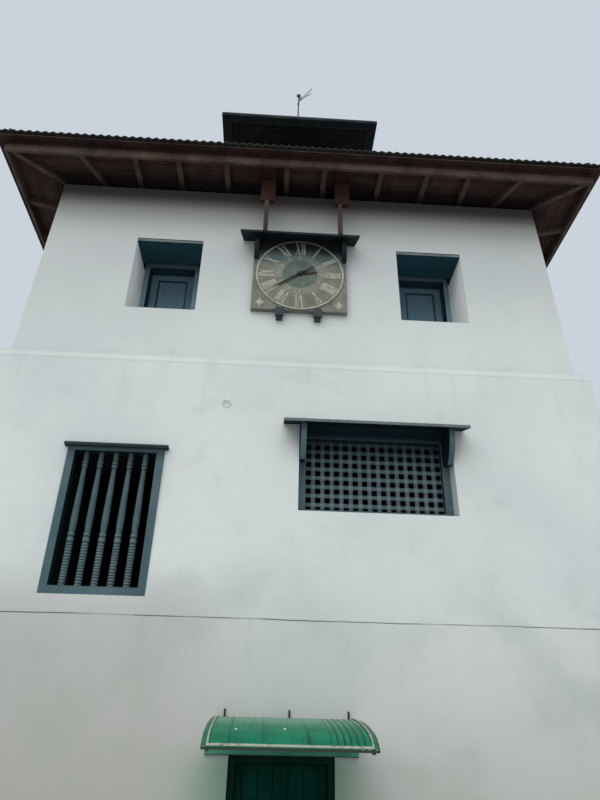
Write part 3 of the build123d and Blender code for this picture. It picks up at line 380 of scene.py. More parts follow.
def painted(name, colour, worn, dirt, grain_along=(1, 1, 1), roughness=0.6, boards=None, shine=0.35,
            painted_shade=None):
    """Old oil paint on wood: thin on the high grain, dull in places. boards = (position,
    pitch) adds joints between boards that repeat along a position, and the last argument,
    (position, none, full), lays painted shade on the coat toward full."""
    made, tree, where = finish(name, roughness, shine)
    fibre = noise(tree, where, 30.0, 6.0, grain_along, 0.65)
    patch = noise(tree, where, 3.0, 7.0, rough=0.65)
    coat = blend(tree, fade(tree, patch, 0.35, 0.7), colour, worn)
    coat = blend(tree, fade(tree, fibre, 0.56, 0.74, 0, 0.55), coat, dirt)
    height = calc(tree, "ADD", calc(tree, "MULTIPLY", fibre, 0.5), patch)
    if painted_shade:
        shade_share = fade(tree, painted_shade[0](tree, *parts(tree, where)), painted_shade[1], painted_shade[2], 0, 0.85)
        coat = blend(tree, shade_share, coat, rgb(10, 8, 8))
    if boards:
        count = calc(tree, "DIVIDE", boards[0](tree, *parts(tree, where)), boards[1])
        gap = fade(tree, from_joint(tree, count, boards[1]), 0.006, 0.002)
        board = calc(tree, "FLOOR", count)
        one = node(tree, "ShaderNodeTexWhiteNoise", (("W", board),), noise_dimensions="1D")
        coat = blend(tree, calc(tree, "MULTIPLY", one.outputs[0], 0.35), coat, worn)
        coat = blend(tree, gap, coat, rgb(8, 9, 10))
        height = calc(tree, "SUBTRACT", height, calc(tree, "MULTIPLY", gap, 2.0))
    close(tree, coat, height, 0.004, 0.5, fade(tree, patch, 0.3, 0.75, roughness + 0.15, roughness - 0.12))
    return made


def out_from_middle(tree, x, y, z):
    """Distance out toward the nearest side of the tower."""
    return calc(tree, "MAXIMUM", calc(tree, "ABSOLUTE", x), calc(tree, "ABSOLUTE", y))


def upward(tree, x, y, z):
    """Height above the ground."""
    return z


eaves = painted("eaves_timber", rgb(60, 49, 45), rgb(82, 69, 63), rgb(28, 22, 20), roughness=0.75,
                shine=0.15, painted_shade=(out_from_middle, 3.66, 3.46))
dress(eaves, "rafter_tails", "hip_rafters", "fascia_lower", "wall_plates", "hood_posts")
dark_eaves = painted("eaves_board", rgb(46, 34, 32), rgb(66, 50, 46), rgb(24, 18, 17), roughness=0.8,
                     shine=0.1)
dress(dark_eaves, "fascia_upper")
# The hanger blocks get painted shade at their tops, under the soffit.
blocks = painted("hanger_blocks", rgb(46, 28, 24), rgb(64, 40, 34), rgb(22, 14, 12), roughness=0.75,
                 shine=0.1, painted_shade=(upward, 8.98, 9.06))
dress(blocks, "tie_beam_ends")
# The soffit boards get painted shade near the wall.
soffit = painted("soffit_boards", rgb(50, 38, 36), rgb(68, 53, 49), rgb(24, 17, 16), roughness=0.85,
                 shine=0.1, boards=(out_from_middle, 0.16), painted_shade=(out_from_middle, 3.74, 3.5))
dress(soffit, "soffit_boards")


# Tilting board: a sloping board round the eave, which carries the lowest course of tiles
# in front of the upper fascia. It is nailed to the rafters' ends.
def square_run(section):
    """Carries a closed section of (half span, height) points round the four sides."""
    corner = np.array(((-1, -1), (1, -1), (1, 1), (-1, 1)))
    half, high = np.array(section).T
    flat = half[:, None, None] * corner
    return np.concatenate((flat, np.broadcast_to(high[:, None, None], (len(half), 4, 1))), -1), True, True


tilting_section = ((4.062, 9.150), (4.186, 9.112), (4.186, 9.126), (4.062, 9.166))
piece("tilting_board", dark_eaves, [square_run(tilting_section)], smooth=False)


# Lantern: a louvred timber box on the roof under a small hipped roof of dark sheet. A thin
# brown moulding runs under the eave of that roof.
def along_y(tree, x, y, z):
    """Place from front to back."""
    return y


lantern = painted("lantern_timber", rgb(22, 32, 37), rgb(32, 42, 46), rgb(12, 18, 21), roughness=0.8,
                  shine=0.1)
dress(lantern, "lantern_frame", "lantern_louvres", "lantern_fascia")
lantern_soffit = painted("lantern_soffit", rgb(24, 22, 22), rgb(34, 31, 30), rgb(14, 13, 13), roughness=0.85,
                         shine=0.1, boards=(along_y, 0.15))
dress(lantern_soffit, "lantern_soffit")
moulding = painted("lantern_moulding", rgb(48, 44, 38), rgb(60, 55, 46), rgb(30, 27, 23), roughness=0.8,
                   shine=0.1)
moulding_section = ((1.405, 13.3095), (1.405, 13.290), (1.439, 13.290), (1.439, 13.3095))
piece("lantern_moulding", moulding, [square_run(moulding_section)], smooth=False)
sheet, tree, where = finish("lantern_sheet", 0.65, 0.2)
tone = mottled(tree, where, 2.0, 6.0, rgb(34, 38, 42), rgb(50, 52, 54))
close(tree, tone, noise(tree, where, 12.0, 3.0), 0.004, 0.3)
dress(sheet, "lantern_roof")

# Weather vane: a dull pale sheet tail, and a ball gone dark, on a dark iron pole. The same
# black painted iron makes the clock's arbor and the door's straps and pintles.
iron, tree, where = finish("dark_iron", 0.55, 0.5, 0.6)
tone = mottled(tree, where, 40.0, 6.0, rgb(24, 25, 27), rgb(58, 46, 40), 0.5, 0.72)
close(tree, tone, noise(tree, where, 120.0, 4.0), 0.001, 0.4)
dress(iron, "vane_pole", "clock_arbor", "door_straps", "door_pintles")
pale_metal, tree, where = finish("vane_metal", 0.5, 0.5, 0.5)
tone = mottled(tree, where, 25.0, 6.0, rgb(128, 128, 124), rgb(92, 84, 76), 0.5, 0.75)
x, y, z = parts(tree, where)
squared = calc(tree, "ADD", calc(tree, "MULTIPLY", x, x), calc(tree, "MULTIPLY", y, y))
from_pole = calc(tree, "SQRT", squared)
tone = blend(tree, fade(tree, from_pole, 0.12, 0.10, 0, 0.9), tone, rgb(62, 64, 66))
close(tree, tone, noise(tree, where, 90.0, 4.0), 0.001, 0.4)
dress(pale_metal, "weathervane")

# Clock: a board and round dial in faded olive paint. The upper part keeps its old dark blue
# green coat, and under the hood it is painted near black as the hood's shadow.
dial, tree, where = finish("dial_board", 0.75, 0.3)
patch = noise(tree, where, 6.0, 7.0, rough=0.65)
olive = blend(tree, fade(tree, patch, 0.35, 0.7), rgb(120, 121, 111), rgb(101, 103, 94))
fine = noise(tree, where, 50.0, 6.0, (1, 1, 0.3))
olive = blend(tree, fade(tree, fine, 0.5, 0.75, 0, 0.6), olive, rgb(78, 77, 66))


def coat_and_shade_line(tree, where):
    """Height on the dial with a ragged edge in it, for the old coat and the painted shadow of the hood."""
    ragged = calc(tree, "MULTIPLY", noise(tree, where, 5.0, 4.0), 0.14)
    return calc(tree, "ADD", parts(tree, where)[2], ragged)


edge = coat_and_shade_line(tree, where)
coat = blend(tree, fade(tree, edge, 7.64, 7.80, 0, 0.8), olive, rgb(52, 78, 80))
coat = blend(tree, fade(tree, edge, 7.82, 7.99), coat, rgb(8, 14, 19))
close(tree, coat, fine, 0.002, 0.4)
dress(dial, "clock_board", "clock_dial")

# Hands: sheet iron in rubbed brown paint, darker at the hub, fixed on the arbor that comes
# through the middle of the dial.
hub = (0.0, -3.56, 7.48)
hands, tree, where = finish("hand_paint", 0.7, 0.15)
away = node(tree, "ShaderNodeVectorMath", ((0, where), (1, hub)), operation="DISTANCE").outputs["Value"]
rust = mottled(tree, where, 16.0, 6.0, rgb(60, 55, 47), rgb(42, 38, 33), 0.4, 0.65)
tone = blend(tree, fade(tree, away, 0.12, 0.04), rust, rgb(22, 26, 28))
close(tree, tone, noise(tree, where, 90.0, 4.0), 0.001, 0.4)
dress(hands, "hour_hand", "minute_hand")

# Dial paint: a thick coat of cream for the rings and the hour numerals, rubbed thin, and
# darkened toward the top where the old coat shows and under the hood as its painted shadow.
cream, tree, where = finish("dial_cream", 0.7, 0.15)
rub = noise(tree, where, 22.0, 7.0, rough=0.7)
tone = blend(tree, fade(tree, rub, 0.42, 0.68), rgb(170, 171, 158), rgb(126, 126, 114))
edge = coat_and_shade_line(tree, where)
tone = blend(tree, fade(tree, edge, 7.64, 7.84, 0, 0.45), tone, rgb(104, 118, 114))
tone = blend(tree, fade(tree, edge, 7.86, 8.06, 0, 0.7), tone, rgb(66, 74, 78))
close(tree, tone, rub, 0.001, 0.4)
centre = np.array((0.0, -3.5543, 7.48))


def ring(inner, outer, thick=0.002):
    """Flat ring on the dial: a rectangular section turned round the dial's centre."""
    angle = np.linspace(0, 2 * np.pi, 96, endpoint=False)
    r = np.array((inner, outer, outer, inner))[:, None]
    y = np.array((0, 0, -thick, -thick))[:, None] + 0 * angle
    return centre + np.stack((r * np.sin(angle), y, r * np.cos(angle)), -1), True, True


def stroke(foot, head, wide_foot, wide_head, hour, thick):
    """Flat painted stroke from foot to head, given across and outward from the centre."""
    foot, head = np.array(foot), np.array(head)
    flat = np.stack((foot - (wide_foot / 2, 0), foot + (wide_foot / 2, 0), head + (wide_head / 2, 0),
                     head - (wide_head / 2, 0)))
    turn = np.radians(30 * hour)
    x = flat[:, 0] * np.cos(turn) + flat[:, 1] * np.sin(turn)
    z = flat[:, 1] * np.cos(turn) - flat[:, 0] * np.sin(turn)
    return capped(centre + np.stack((np.stack((x, 0 * x, z), -1), np.stack((x, 0 * x - thick, z), -1))))


# Inner and outer edge of each ring: a broad one at the rim, and two fine lines that stand on
# either side of the minute marks.
ring_edges = ((0.565, 0.586), (0.315, 0.320), (0.243, 0.248))
rings = [ring(inner, outer) for inner, outer in ring_edges]
# Widths of the letters and the gap at their sides, the numerals' reach from the centre, the
# widths of the strokes, also at the point of a V, how far their ends stand in, and the
# thickness of the paint.
letter_wide = {"I": 0.031, "V": 0.082, "X": 0.082}
letter_gap, numeral_foot, numeral_head = 0.006, 0.337, 0.548
upright, broad, hairline = 0.0225, 0.021, 0.008
broad_point, hairline_point = 0.012, 0.010
broad_in, hairline_in = 0.010, 0.004
thick, thin = 0.0015, 0.0012
marks = []
numerals = ("I", "II", "III", "IIII", "V", "VI", "VII", "VIII", "IX", "X", "XI", "XII")
for hour, numeral in enumerate(numerals, 1):
    start = -sum(letter_wide[letter] for letter in numeral) / 2
    for letter in numeral:
        left, right = start + letter_gap, start + letter_wide[letter] - letter_gap
        mid = (left + right) / 2
        # Each stroke: its place at foot and head, its width there and its thickness.
        strokes = {"I": ((mid, mid, upright, upright, thick),),
                   "V": ((mid, left + broad_in, broad_point, broad, thick),
                         (mid, right - hairline_in, hairline_point, hairline, thin)),
                   "X": ((right - broad_in, left + broad_in, broad, broad, thick),
                         (left + hairline_in, right - hairline_in, hairline, hairline, thin))}
        for at_foot, at_head, wide_foot, wide_head, deep in strokes[letter]:
            marks.append(stroke((at_foot, numeral_foot), (at_head, numeral_head), wide_foot, wide_head,
                                hour, deep))
        start += letter_wide[letter]
# Marks of the minute ring: where they start and end, and how wide they are, bolder at the hours.
fine_mark, bold_mark = (0.262, 0.300, 0.007), (0.256, 0.308, 0.014)
for minute in range(60):
    near, far, wide = fine_mark if minute % 5 else bold_mark
    marks.append(stroke((0, near), (0, far), wide, wide, minute / 5, thick))
piece("dial_rings", cream, rings, smooth=False)
piece("dial_numerals", cream, marks, smooth=False)

# Lower corners of the clock board: a plain four pointed ornament in the same cream, painted
# on the board itself.
star_out, star_z, star_reach = 0.515, 6.99, 0.075
star_back, star_front = (0, -3.5423, 0), (0, -3.5438, 0)
bend = np.linspace(0, 2 * np.pi, 32, endpoint=False)
stars = []
for side in (-1, 1):
    star = np.stack((side * star_out + star_reach * np.cos(bend) ** 3, 0 * bend,
                     star_z + star_reach * np.sin(bend) ** 3), -1)
    stars.append(capped(np.stack((star + star_back, star + star_front))))
piece("board_corners", cream, stars, smooth=False)

# Middle of the dial: a disc repainted in grey green, with a hole for the arbor and a darker
# tone in its upper half.
disc_radius, hole_radius, paint_thick = 0.232, 0.014, 0.001
middle, tree, where = finish("dial_middle", 0.7, 0.3)
tone = mottled(tree, where, 7.0, 6.0, rgb(92, 106, 95), rgb(76, 90, 84))
tone = blend(tree, fade(tree, parts(tree, where)[2], 7.45, 7.7, 0, 0.6), tone, rgb(58, 72, 74))
close(tree, tone, noise(tree, where, 40.0, 5.0), 0.001, 0.3)
angle = np.linspace(0, 2 * np.pi, 96, endpoint=False)
circle = np.stack((np.sin(angle), 0 * angle, np.cos(angle)), -1)
disc, hole = disc_radius * circle + centre, hole_radius * circle + centre
front = np.array((0, -paint_thick, 0))
washer = (np.stack((hole, disc, disc + front, hole + front)), True, True)
piece("dial_middle", middle, [washer], smooth=False)

# Hoods, brackets and corbels: boards in very dark blue green paint over and under the
# clock. The corbels below it have faded to grey blue.
hoods = painted("hood_paint", rgb(16, 25, 30), rgb(28, 37, 41), rgb(8, 13, 16), (0.2, 1, 1), shine=0.15)
dress(hoods, "clock_hood", "clock_hood_brackets")
corbel = painted("corbel_paint", rgb(50, 62, 66), rgb(62, 74, 78), rgb(32, 42, 46), shine=0.2)
dress(corbel, "clock_corbels")


# Hood of the lattice window: a thin sloping board on two brackets, painted very dark below
# as shade, and weathered pale along its edge and on top.
def edged(name, under, edge, top, shade_line_z=99.0):
    """Paint that is dark on undersides as painted shade, weathered pale on upright edges and dull
    on top, by the surface's own normal. Above the given height it is all dark, as painted shadow."""
    made, tree, where = finish(name, 0.7, 0.15)
    facing_up = normal_parts(tree)[2]
    coat = blend(tree, fade(tree, facing_up, -0.75, -0.35), under, edge)
    coat = blend(tree, fade(tree, facing_up, 0.3, 0.7), coat, top)
    patch = noise(tree, where, 7.0, 7.0, (0.3, 1, 1), 0.65)
    coat = blend(tree, fade(tree, patch, 0.45, 0.72, 0, 0.45), coat, rgb(30, 40, 44))
    z = parts(tree, where)[2]
    coat = blend(tree, fade(tree, z, shade_line_z - 0.002, shade_line_z + 0.002), coat, rgb(12, 18, 22))
    close(tree, coat, noise(tree, where, 40.0, 6.0, (0.2, 1, 1)), 0.002, 0.4)
    return made


pale_edge = edged("lattice_hood_paint", rgb(10, 24, 30), rgb(94, 106, 109), rgb(100, 106, 104))
dress(pale_edge, "lattice_hood")


# Window frames and the brackets of the lattice hood: planed timber in blue grey paint,
# painted darker as shade on the faces that are turned into an opening.
def framed(name, inner, zones=()):
    """Blue grey paint on a frame, and the dark colour inner as painted shade on faces turned into
    its opening, told by the surface's normal against its wall's. zones = (low, high, colour,
    share) lays a colour on from a height up."""
    made, tree, where = finish(name, 0.65, 0.2)
    x, y, z = parts(tree, where)
    across, out, _ = normal_parts(tree)
    sideways = calc(tree, "GREATER_THAN", calc(tree, "ABSOLUTE", x), calc(tree, "ABSOLUTE", y))
    facing = node(tree, "ShaderNodeMix", ((0, sideways), (2, calc(tree, "ABSOLUTE", out)),
                                          (3, calc(tree, "ABSOLUTE", across)))).outputs[0]
    fibre = noise(tree, where, 30.0, 6.0, (1, 1, 0.3), 0.65)
    coat = mottled(tree, where, 3.0, 7.0, rgb(68, 92, 100), rgb(84, 106, 113))
    for low, high, colour, share in zones:
        coat = blend(tree, fade(tree, z, low, high, 0, share), coat, colour)
    coat = blend(tree, fade(tree, fibre, 0.56, 0.74, 0, 0.45), coat, rgb(44, 60, 66))
    coat = blend(tree, fade(tree, facing, 0.6, 0.3), coat, inner)
    close(tree, coat, fibre, 0.002, 0.4)
    return made


# The baluster window's head and its cap's underside are painted dark as shade; the cap's top edge is bare.
cap_zones = ((3.0, 3.1, rgb(44, 66, 74), 0.3), (4.58, 4.78, rgb(22, 40, 46), 0.6),
             (4.819, 4.821, rgb(20, 34, 40), 0.85), (4.836, 4.839, rgb(128, 140, 142), 0.95))
dress(framed("baluster_frame_paint", rgb(20, 40, 47), cap_zones), "baluster_window_frame")
# The lattice frame is dark under its hood; upper frames are painted lighter, as light in their niches.
hood_shade = ((5.06, 5.15, rgb(10, 28, 36), 0.85),)
upper_niche_light = ((6.0, 6.1, rgb(122, 148, 160), 0.9),)
dress(framed("lattice_frame_paint", rgb(16, 36, 44), hood_shade), "lattice_frame")
dress(framed("bracket_paint", rgb(14, 28, 34)), "lattice_hood_brackets")
dress(framed("shutter_frame_paint", rgb(34, 56, 66), upper_niche_light), "shutter_frames")

# Balusters: five bars turned on a lathe, with close rings at the foot, a wide and a narrow
# bead, a long taper and a collar of two beads. They are tenoned into the frame.
bar_x, bar_y, bar_pitch = -1.972, -3.6111, 0.16
bar_foot, bar_high, bar_radius = 3.275, 1.465, 0.04
# Each turning: its foot and head as shares of the height, its count of rings, and the neck
# and the swell of a ring as shares of the radius.
turnings = ((0.0, 0.303, 15, 0.72, 0.18), (0.303, 0.35, 1, 0.78, 0.12), (0.35, 0.378, 1, 0.76, 0.14),
            (0.87, 0.925, 2, 0.62, 0.16))


def turned_bar(x):
    """Surface of a turned bar: radius against height, turned about its axis. The shank runs
    straight between its widest points, and rings are half sine waves between their necks."""
    h = np.linspace(0, 1, 300)
    r = np.interp(h, (0.378, 0.42, 0.47, 0.7, 0.87, 0.925, 1.0), (0.76, 0.84, 0.91, 0.75, 0.58, 0.68, 0.72))
    for foot, head, count, neck, swell in turnings:
        rings = neck + swell * np.abs(np.sin(np.pi * count * (h - foot) / (head - foot)))
        r = np.where((h >= foot) & (h < head), rings, r)
    r = bar_radius * r[:, None]
    angle = np.linspace(0, 2 * np.pi, 28, endpoint=False)
    high = (bar_foot + h * bar_high)[:, None]
    bar = np.stack(np.broadcast_arrays(r * np.cos(angle), r * np.sin(angle), high), -1)
    return capped(bar + (x, bar_y, 0))


bars = [turned_bar(bar_x + bar_pitch * k) for k in range(-2, 3)]
# Their paint is lighter on the crests and darker in the grooves, which repeat with the
# turning, and painted dark at the head as shade.
bar_paint, tree, where = finish("baluster_paint", 0.65, 0.2)
z = parts(tree, where)[2]
h = calc(tree, "DIVIDE", calc(tree, "SUBTRACT", z, bar_foot), bar_high)
coat = mottled(tree, where, 6.0, 7.0, rgb(60, 82, 88), rgb(78, 98, 102))
for foot, head, count, _, _ in turnings:
    part = calc(tree, "DIVIDE", calc(tree, "SUBTRACT", h, foot), head - foot)
    crest = calc(tree, "ABSOLUTE", calc(tree, "SINE", calc(tree, "MULTIPLY", part, np.pi * count)))
    inside = calc(tree, "LESS_THAN", off(tree, part, 0.5), 0.5)
    coat = blend(tree, calc(tree, "MULTIPLY", inside, fade(tree, crest, 0.6, 0.95, 0, 0.45)), coat,
                 rgb(104, 124, 128))
    coat = blend(tree, calc(tree, "MULTIPLY", inside, fade(tree, crest, 0.55, 0.15, 0, 0.7)), coat,
                 rgb(18, 30, 35))
coat = blend(tree, fade(tree, z, 4.45, 4.72, 0, 0.6), coat, rgb(14, 26, 31))
close(tree, coat, noise(tree, where, 40.0, 6.0, (1, 1, 0.3)), 0.002, 0.4)
balusters = piece("turned_balusters", bar_paint, bars)
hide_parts("window_balusters")

# Lattice: a pierced board with rounded openings and a low knob where the bars cross, set in
# a recessed frame under the sloping hood.
screen_low, screen_high = map(np.array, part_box("lattice_screen"))
lattice_bar, foot_bar, head_bar = 0.045, 0.066, 0.012
columns, rows = 15, 9
knob_high, arris_deep, face_deep = 0.007, 0.003, 0.007
screen_pitch = np.array(((screen_high[0] - screen_low[0] - lattice_bar) / columns,
                         (screen_high[2] - screen_low[2] - foot_bar - head_bar + lattice_bar) / rows))
screen_start = np.array((screen_low[0] + lattice_bar / 2, screen_low[2] + foot_bar - lattice_bar / 2))
screen_front, screen_back = screen_low[1] + face_deep, screen_high[1]


def pierced():
    """Closed surface of the pierced board. Each cell is a fan of loops from its square
    border in to an opening, whose outline is a rounded square: |x|^5 + |z|^5 is constant.
    The border's corners, where |x| + |z| nears twice the half width, stand up as knobs."""
    angle = np.linspace(0, 2 * np.pi, 32, endpoint=False) + np.pi / 4
    ray = np.stack((np.cos(angle), np.sin(angle)), -1)
    square = ray / np.abs(ray).max(1)[:, None]
    rounded = ray / (np.abs(ray) ** 5).sum(1)[:, None] ** (1 / 5)
    knob = knob_high * np.clip(np.abs(square).sum(1) - 1.6, 0, 0.4) / 0.4
    loops = []
    # Each loop: how far it is from the border to the opening, how high, and if it is the back.
    for share, raised, back in ((0.0, 1.0, 0), (0.5, 0.3, 0), (0.85, 0.5, 0), (1.0, 0.0, 0), (1.0, 0.0, 1),
                                (0.0, 0.0, 1)):
        flat = square * (1 - share) * screen_pitch / 2 + rounded * share * (screen_pitch - lattice_bar) / 2
        proud = knob * raised if share < 0.6 else np.full(32, arris_deep * raised)
        y = screen_back + 0 * angle if back else screen_front - proud
        loops.append(np.stack((flat[:, 0], y, flat[:, 1]), -1))
    cell = np.stack(loops)
    patches = []
    for column in range(columns):
        for row in range(rows):
            middle = screen_start + screen_pitch * (column + 0.5, row + 0.5)
            patches.append((cell + (middle[0], 0, middle[1]), False, True))
    left, foot = screen_start
    right = left + screen_pitch[0] * columns
    for x0, x1, z0, z1 in ((screen_low[0], left, screen_low[2], screen_high[2]),
                           (right, screen_high[0], screen_low[2], screen_high[2]),
                           (left, right, screen_low[2], foot)):
        outline = ((x0, z0), (x1, z0), (x1, z1), (x0, z1))
        box = np.array([[(x, y, z) for x, z in outline] for y in (screen_front, screen_back)])
        patches.append(capped(box))
    return patches


# Its paint is pale on the knobs and dirty between them, and painted dark as shade inside
# the openings and under the hood.
lattice_paint, tree, where = finish("lattice_paint", 0.65, 0.2)
x, y, z = parts(tree, where)
from_crossing = []
for value, first, pitch in ((x, screen_start[0], screen_pitch[0]), (z, screen_start[1], screen_pitch[1])):
    count = calc(tree, "DIVIDE", calc(tree, "SUBTRACT", value, first), pitch)
    from_crossing.append(from_joint(tree, count, pitch))
aside = calc(tree, "ADD", *from_crossing)
coat = mottled(tree, where, 5.0, 7.0, rgb(78, 99, 106), rgb(94, 113, 118))
coat = blend(tree, fade(tree, aside, 0.026, 0.014, 0, 0.7), coat, rgb(126, 142, 146))
coat = blend(tree, fade(tree, aside, 0.030, 0.042, 0, 0.4), coat, rgb(52, 70, 76))
coat = blend(tree, fade(tree, z, 4.8, 5.12, 0, 0.7), coat, rgb(12, 26, 32))
facing = calc(tree, "ABSOLUTE", normal_parts(tree)[1])
coat = blend(tree, fade(tree, facing, 0.6, 0.3), coat, rgb(10, 20, 25))
close(tree, coat, noise(tree, where, 40.0, 6.0), 0.002, 0.4)
screen = piece("pierced_lattice", lattice_paint, pierced(), smooth=False)
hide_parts("lattice_screen")

# Shutters: closed leaves of boards in a frame of rails, with dirt and painted shadow in the
# quirk round the sunk panel and in the gap at the leaf's edge. Lintel boards close the niches above them.
shutters, tree, where = finish("shutter_paint", 0.65, 0.2)
x, y, z = parts(tree, where)
upper = calc(tree, "GREATER_THAN", z, ledge_z)


def either(middle, top):
    """The first size for the middle storey's shutters, and the second for the upper ones."""
    return calc(tree, "MULTIPLY_ADD", upper, top - middle, middle)


# Middle of a leaf's panel across the wall and up, and half the panel's width and height, for
# the middle storey and for the upper one, and the width of the panel's boards.
panel_across, panel_up = (0.0, 1.84), (4.0075, 7.525)
panel_half_wide, panel_half_high = (0.318, 0.205), (0.6075, 0.465)
shutter_board = 0.103
along = calc(tree, "MINIMUM", calc(tree, "ABSOLUTE", x), calc(tree, "ABSOLUTE", y))
off_x = off(tree, along, either(*panel_across))
off_z = off(tree, z, either(*panel_up))
outside = calc(tree, "MAXIMUM", calc(tree, "SUBTRACT", off_x, either(*panel_half_wide)),
               calc(tree, "SUBTRACT", off_z, either(*panel_half_high)))
fibre = noise(tree, where, 30.0, 6.0, (1, 1, 0.15), 0.65)
coat = mottled(tree, where, 3.0, 7.0, rgb(60, 82, 90), rgb(76, 96, 104))
# The upper storey's leaves are painted lighter, as light in their deep niches.
coat = blend(tree, calc(tree, "MULTIPLY", upper, 0.9), coat, rgb(104, 134, 154))
coat = blend(tree, fade(tree, fibre, 0.54, 0.74, 0, 0.4), coat, rgb(44, 60, 68))
part = calc(tree, "FRACT", calc(tree, "DIVIDE", along, shutter_board))
seam = calc(tree, "MULTIPLY", fade(tree, part, 0.09, 0.03, 0, 0.3), fade(tree, outside, 0.0, -0.01))
coat = blend(tree, seam, coat, rgb(20, 30, 36))
coat = blend(tree, fade(tree, calc(tree, "ABSOLUTE", outside), 0.018, 0.006, 0, 0.8), coat, rgb(16, 28, 34))
coat = blend(tree, fade(tree, outside, 0.092, 0.114, 0, 0.8), coat, rgb(14, 24, 30))
close(tree, coat, fibre, 0.002, 0.4)
dress(shutters, "window_shutters")
# The lintel boards are painted dark below as shade, with a painted shadow line along their top.
lintels = edged("lintel_wood", rgb(27, 60, 71), rgb(112, 122, 124), rgb(60, 70, 74), 8.062)
dress(lintels, "upper_window_lintels")


# Door: a boarded leaf in very dark green paint, hung in a frame whose lintel board has
# faded to a pale green.
def along_x(tree, x, y, z):
    """Place across the front."""
    return x


door = painted("door_paint", rgb(0, 42, 34), rgb(2, 52, 44), rgb(0, 28, 23), (1, 1, 0.15), 0.6,
               (along_x, 0.135), 0.03)
dress(door, "door_leaf")
frame_green, tree, where = finish("door_frame_paint", 0.65, 0.08)
patch = noise(tree, where, 5.0, 7.0, (0.4, 1, 0.4), 0.65)
dark = blend(tree, fade(tree, patch, 0.35, 0.7), rgb(0, 30, 24), rgb(2, 40, 33))
faded = blend(tree, fade(tree, patch, 0.35, 0.7), rgb(60, 122, 98), rgb(80, 140, 118))
coat = blend(tree, fade(tree, parts(tree, where)[2], 1.852, 1.858), dark, faded)
close(tree, coat, noise(tree, where, 40.0, 6.0), 0.002, 0.4)
dress(frame_green, "door_frame")

# Canopy: a fluted green plastic sheet, bent over light side strips and screwed to them,
# with aluminium trims along its edges.
sheet_left, sheet_right, sheet_top, sheet_seat, sheet_thick = -0.685, 0.615, 2.155, 2.119, 0.0025
flute_wide, half_flute, flutes, per_flute = 0.05, 0.0022, 26, 8
green, tree, where = finish("canopy_green", 0.5, 0.15)
x, y, z = parts(tree, where)
tone = mottled(tree, where, 6.0, 6.0, rgb(6, 112, 80), rgb(8, 94, 70))
tone = blend(tree, fade(tree, z, 2.02, 2.13, 0, 0.85), tone, rgb(104, 142, 122))
# Dust and rain darken the sheet where it meets the wall and outside the side trims.
tone = blend(tree, fade(tree, z, 2.142, 2.150, 0, 0.75), tone, rgb(26, 54, 44))
flap = fade(tree, off(tree, x, -0.035), 0.608, 0.616, 0, 0.55)
tone = blend(tree, flap, tone, rgb(46, 82, 68))
wet = fade(tree, noise(tree, where, 9.0, 5.0, (3, 0.3, 0.3)), 0.56, 0.72, 0, 0.6)
tone = blend(tree, wet, tone, rgb(8, 74, 56))
turns = calc(tree, "MULTIPLY", calc(tree, "SUBTRACT", x, sheet_left), 2 * np.pi / flute_wide)
valley = fade(tree, calc(tree, "COSINE", turns), 0.35, 0.95)
dirty_flutes = fade(tree, noise(tree, where, 5.0, 3.0, (1, 0, 0)), 0.5, 0.62, 0, 0.5)
grimy = calc(tree, "ADD", fade(tree, x, 0.24, 0.32, 0.0, 0.85), dirty_flutes)
grime = calc(tree, "MULTIPLY", valley, calc(tree, "MINIMUM", grimy, 0.85))
tone = blend(tree, grime, tone, rgb(12, 44, 36))
band = fade(tree, off(tree, x, 0.102), 0.02, 0.012, 0, 0.6)
tone = blend(tree, calc(tree, "MULTIPLY", band, fade(tree, z, 2.1, 2.0)), tone, rgb(10, 60, 44))
close(tree, tone, noise(tree, where, 60.0, 4.0), 0.001, 0.3)


def arc(start, end, slope):
    """Points of a circular arc in 30 steps that leaves start at a slope angle: each lies
    at chord times sin(f half) / sin(half), turned by f half from the slope."""
    chord = np.array(end) - start
    half = np.arctan2(chord[1], chord[0]) - slope
    f = np.linspace(0, 1, 30)
    reach = np.hypot(*chord) * np.sin(f * half) / np.sin(half)
    heading = slope + f * half
    return np.array(start) + reach[:, None] * np.stack((np.cos(heading), np.sin(heading)), -1)


# The sheet's section, out from the wall and up: a long flat arc, then a short steep one.
shoulder, lip_end = (0.980, -0.151), (1.215, -0.268)
first = arc((0, 0), shoulder, np.radians(-3.74))
second = arc(shoulder, lip_end, np.radians(-13.78))
curve = np.concatenate((first, second[1:]))
across_x = np.linspace(sheet_left, sheet_right, flutes * per_flute + 1)
flute = half_flute * (1 + np.cos(2 * np.pi * (across_x - sheet_left) / flute_wide))
wall_y = -(half_ground - batter * sheet_seat)
top = np.stack(np.broadcast_arrays(across_x, wall_y - curve[:, :1], sheet_top + curve[:, 1:] - flute), -1)
below = top - (0, 0, sheet_thick)
rims = ((top[0], below[0]), (top[-1], below[-1]), (top[:, 0], below[:, 0]), (top[:, -1], below[:, -1]))
edges = [(np.stack(pair), False, False) for pair in rims]
canopy = piece("canopy_flutes", green, [(top, False, False), (below, False, False), *edges])
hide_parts("canopy_sheet")
metal, tree, where = finish("canopy_metal", 0.5, 0.5, 0.4)
x, y, z = parts(tree, where)
tone = mottled(tree, where, 18.0, 6.0, rgb(158, 162, 148), rgb(104, 96, 76), 0.5, 0.7)
tone = blend(tree, calc(tree, "LESS_THAN", z, 1.8815), tone, rgb(34, 50, 38))
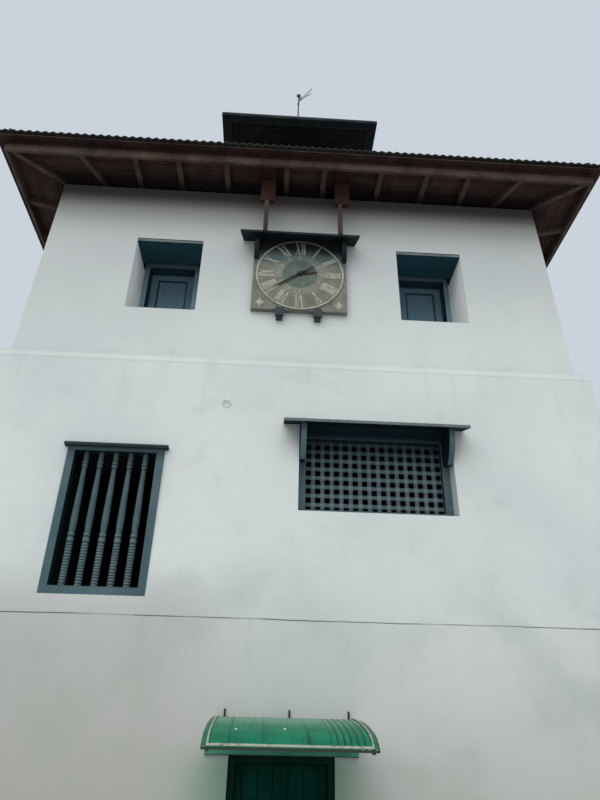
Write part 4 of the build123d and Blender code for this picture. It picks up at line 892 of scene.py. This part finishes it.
hook = calc(tree, "GREATER_THAN", calc(tree, "MULTIPLY", fade(tree, y, -3.75, -3.73), z), 2.15)
tone = blend(tree, hook, tone, rgb(22, 22, 22))
close(tree, tone, noise(tree, where, 90.0, 4.0), 0.001, 0.3)
dress(metal, "canopy_frame")

# Washers: thin discs of bright metal under the two screws that hold the sheet to its middle
# strip, lying at the sheet's slope.
washer_radius, washer_rim, half_thick, sheet_slope = 0.011, 0.009, 0.003, 0.24
washer_places = ((-0.4464, -4.6404, 2.0106), (-0.0706, -4.5975, 2.0207))
angle = np.linspace(0, 2 * np.pi, 12, endpoint=False)
out = np.array((washer_radius, washer_rim))[:, None]
high = np.array((-half_thick, half_thick))[:, None]
washers = []
for x, y, z in washer_places:
    tilted = z + high + sheet_slope * out * np.sin(angle)
    washers.append(capped(np.stack((x + out * np.cos(angle), y + out * np.sin(angle), tilted), -1)))
washer_metal, tree, where = finish("washer_metal", 0.5, 0.4, 0.3)
tone = mottled(tree, where, 60.0, 4.0, rgb(214, 222, 216), rgb(150, 160, 150), 0.45, 0.7)
close(tree, tone, noise(tree, where, 200.0, 3.0), 0.0005, 0.3)
piece("canopy_washers", washer_metal, washers, smooth=False)

# Wall eye: an iron ring painted white that hangs from the front wall, left of the clock and
# below it, leaning out a little at its foot.
eye_place = np.array((-0.817, -3.632, 5.418))
eye_radius, wire_radius, lean = 0.042, 0.007, 0.2
angle = np.linspace(0, 2 * np.pi, 32, endpoint=False)[:, None]
round_wire = np.linspace(0, 2 * np.pi, 10, endpoint=False)[None]
wide = eye_radius + wire_radius * np.cos(round_wire)
torus = np.stack((wide * np.sin(angle), wire_radius * np.sin(round_wire) - lean * wide * np.cos(angle),
                  wide * np.cos(angle)), -1) + eye_place
piece("wall_eye", washer_metal, [(torus, True, True)])

# Floors: plain wide boards on joists, one floor to a storey. They are worn and show only
# through the doorway.
boards = painted("floor_boards", rgb(112, 88, 68), rgb(128, 104, 82), rgb(76, 60, 48), (0.15, 1, 1), 0.7,
                 (along_y, 0.2))
dress(boards, "floors")
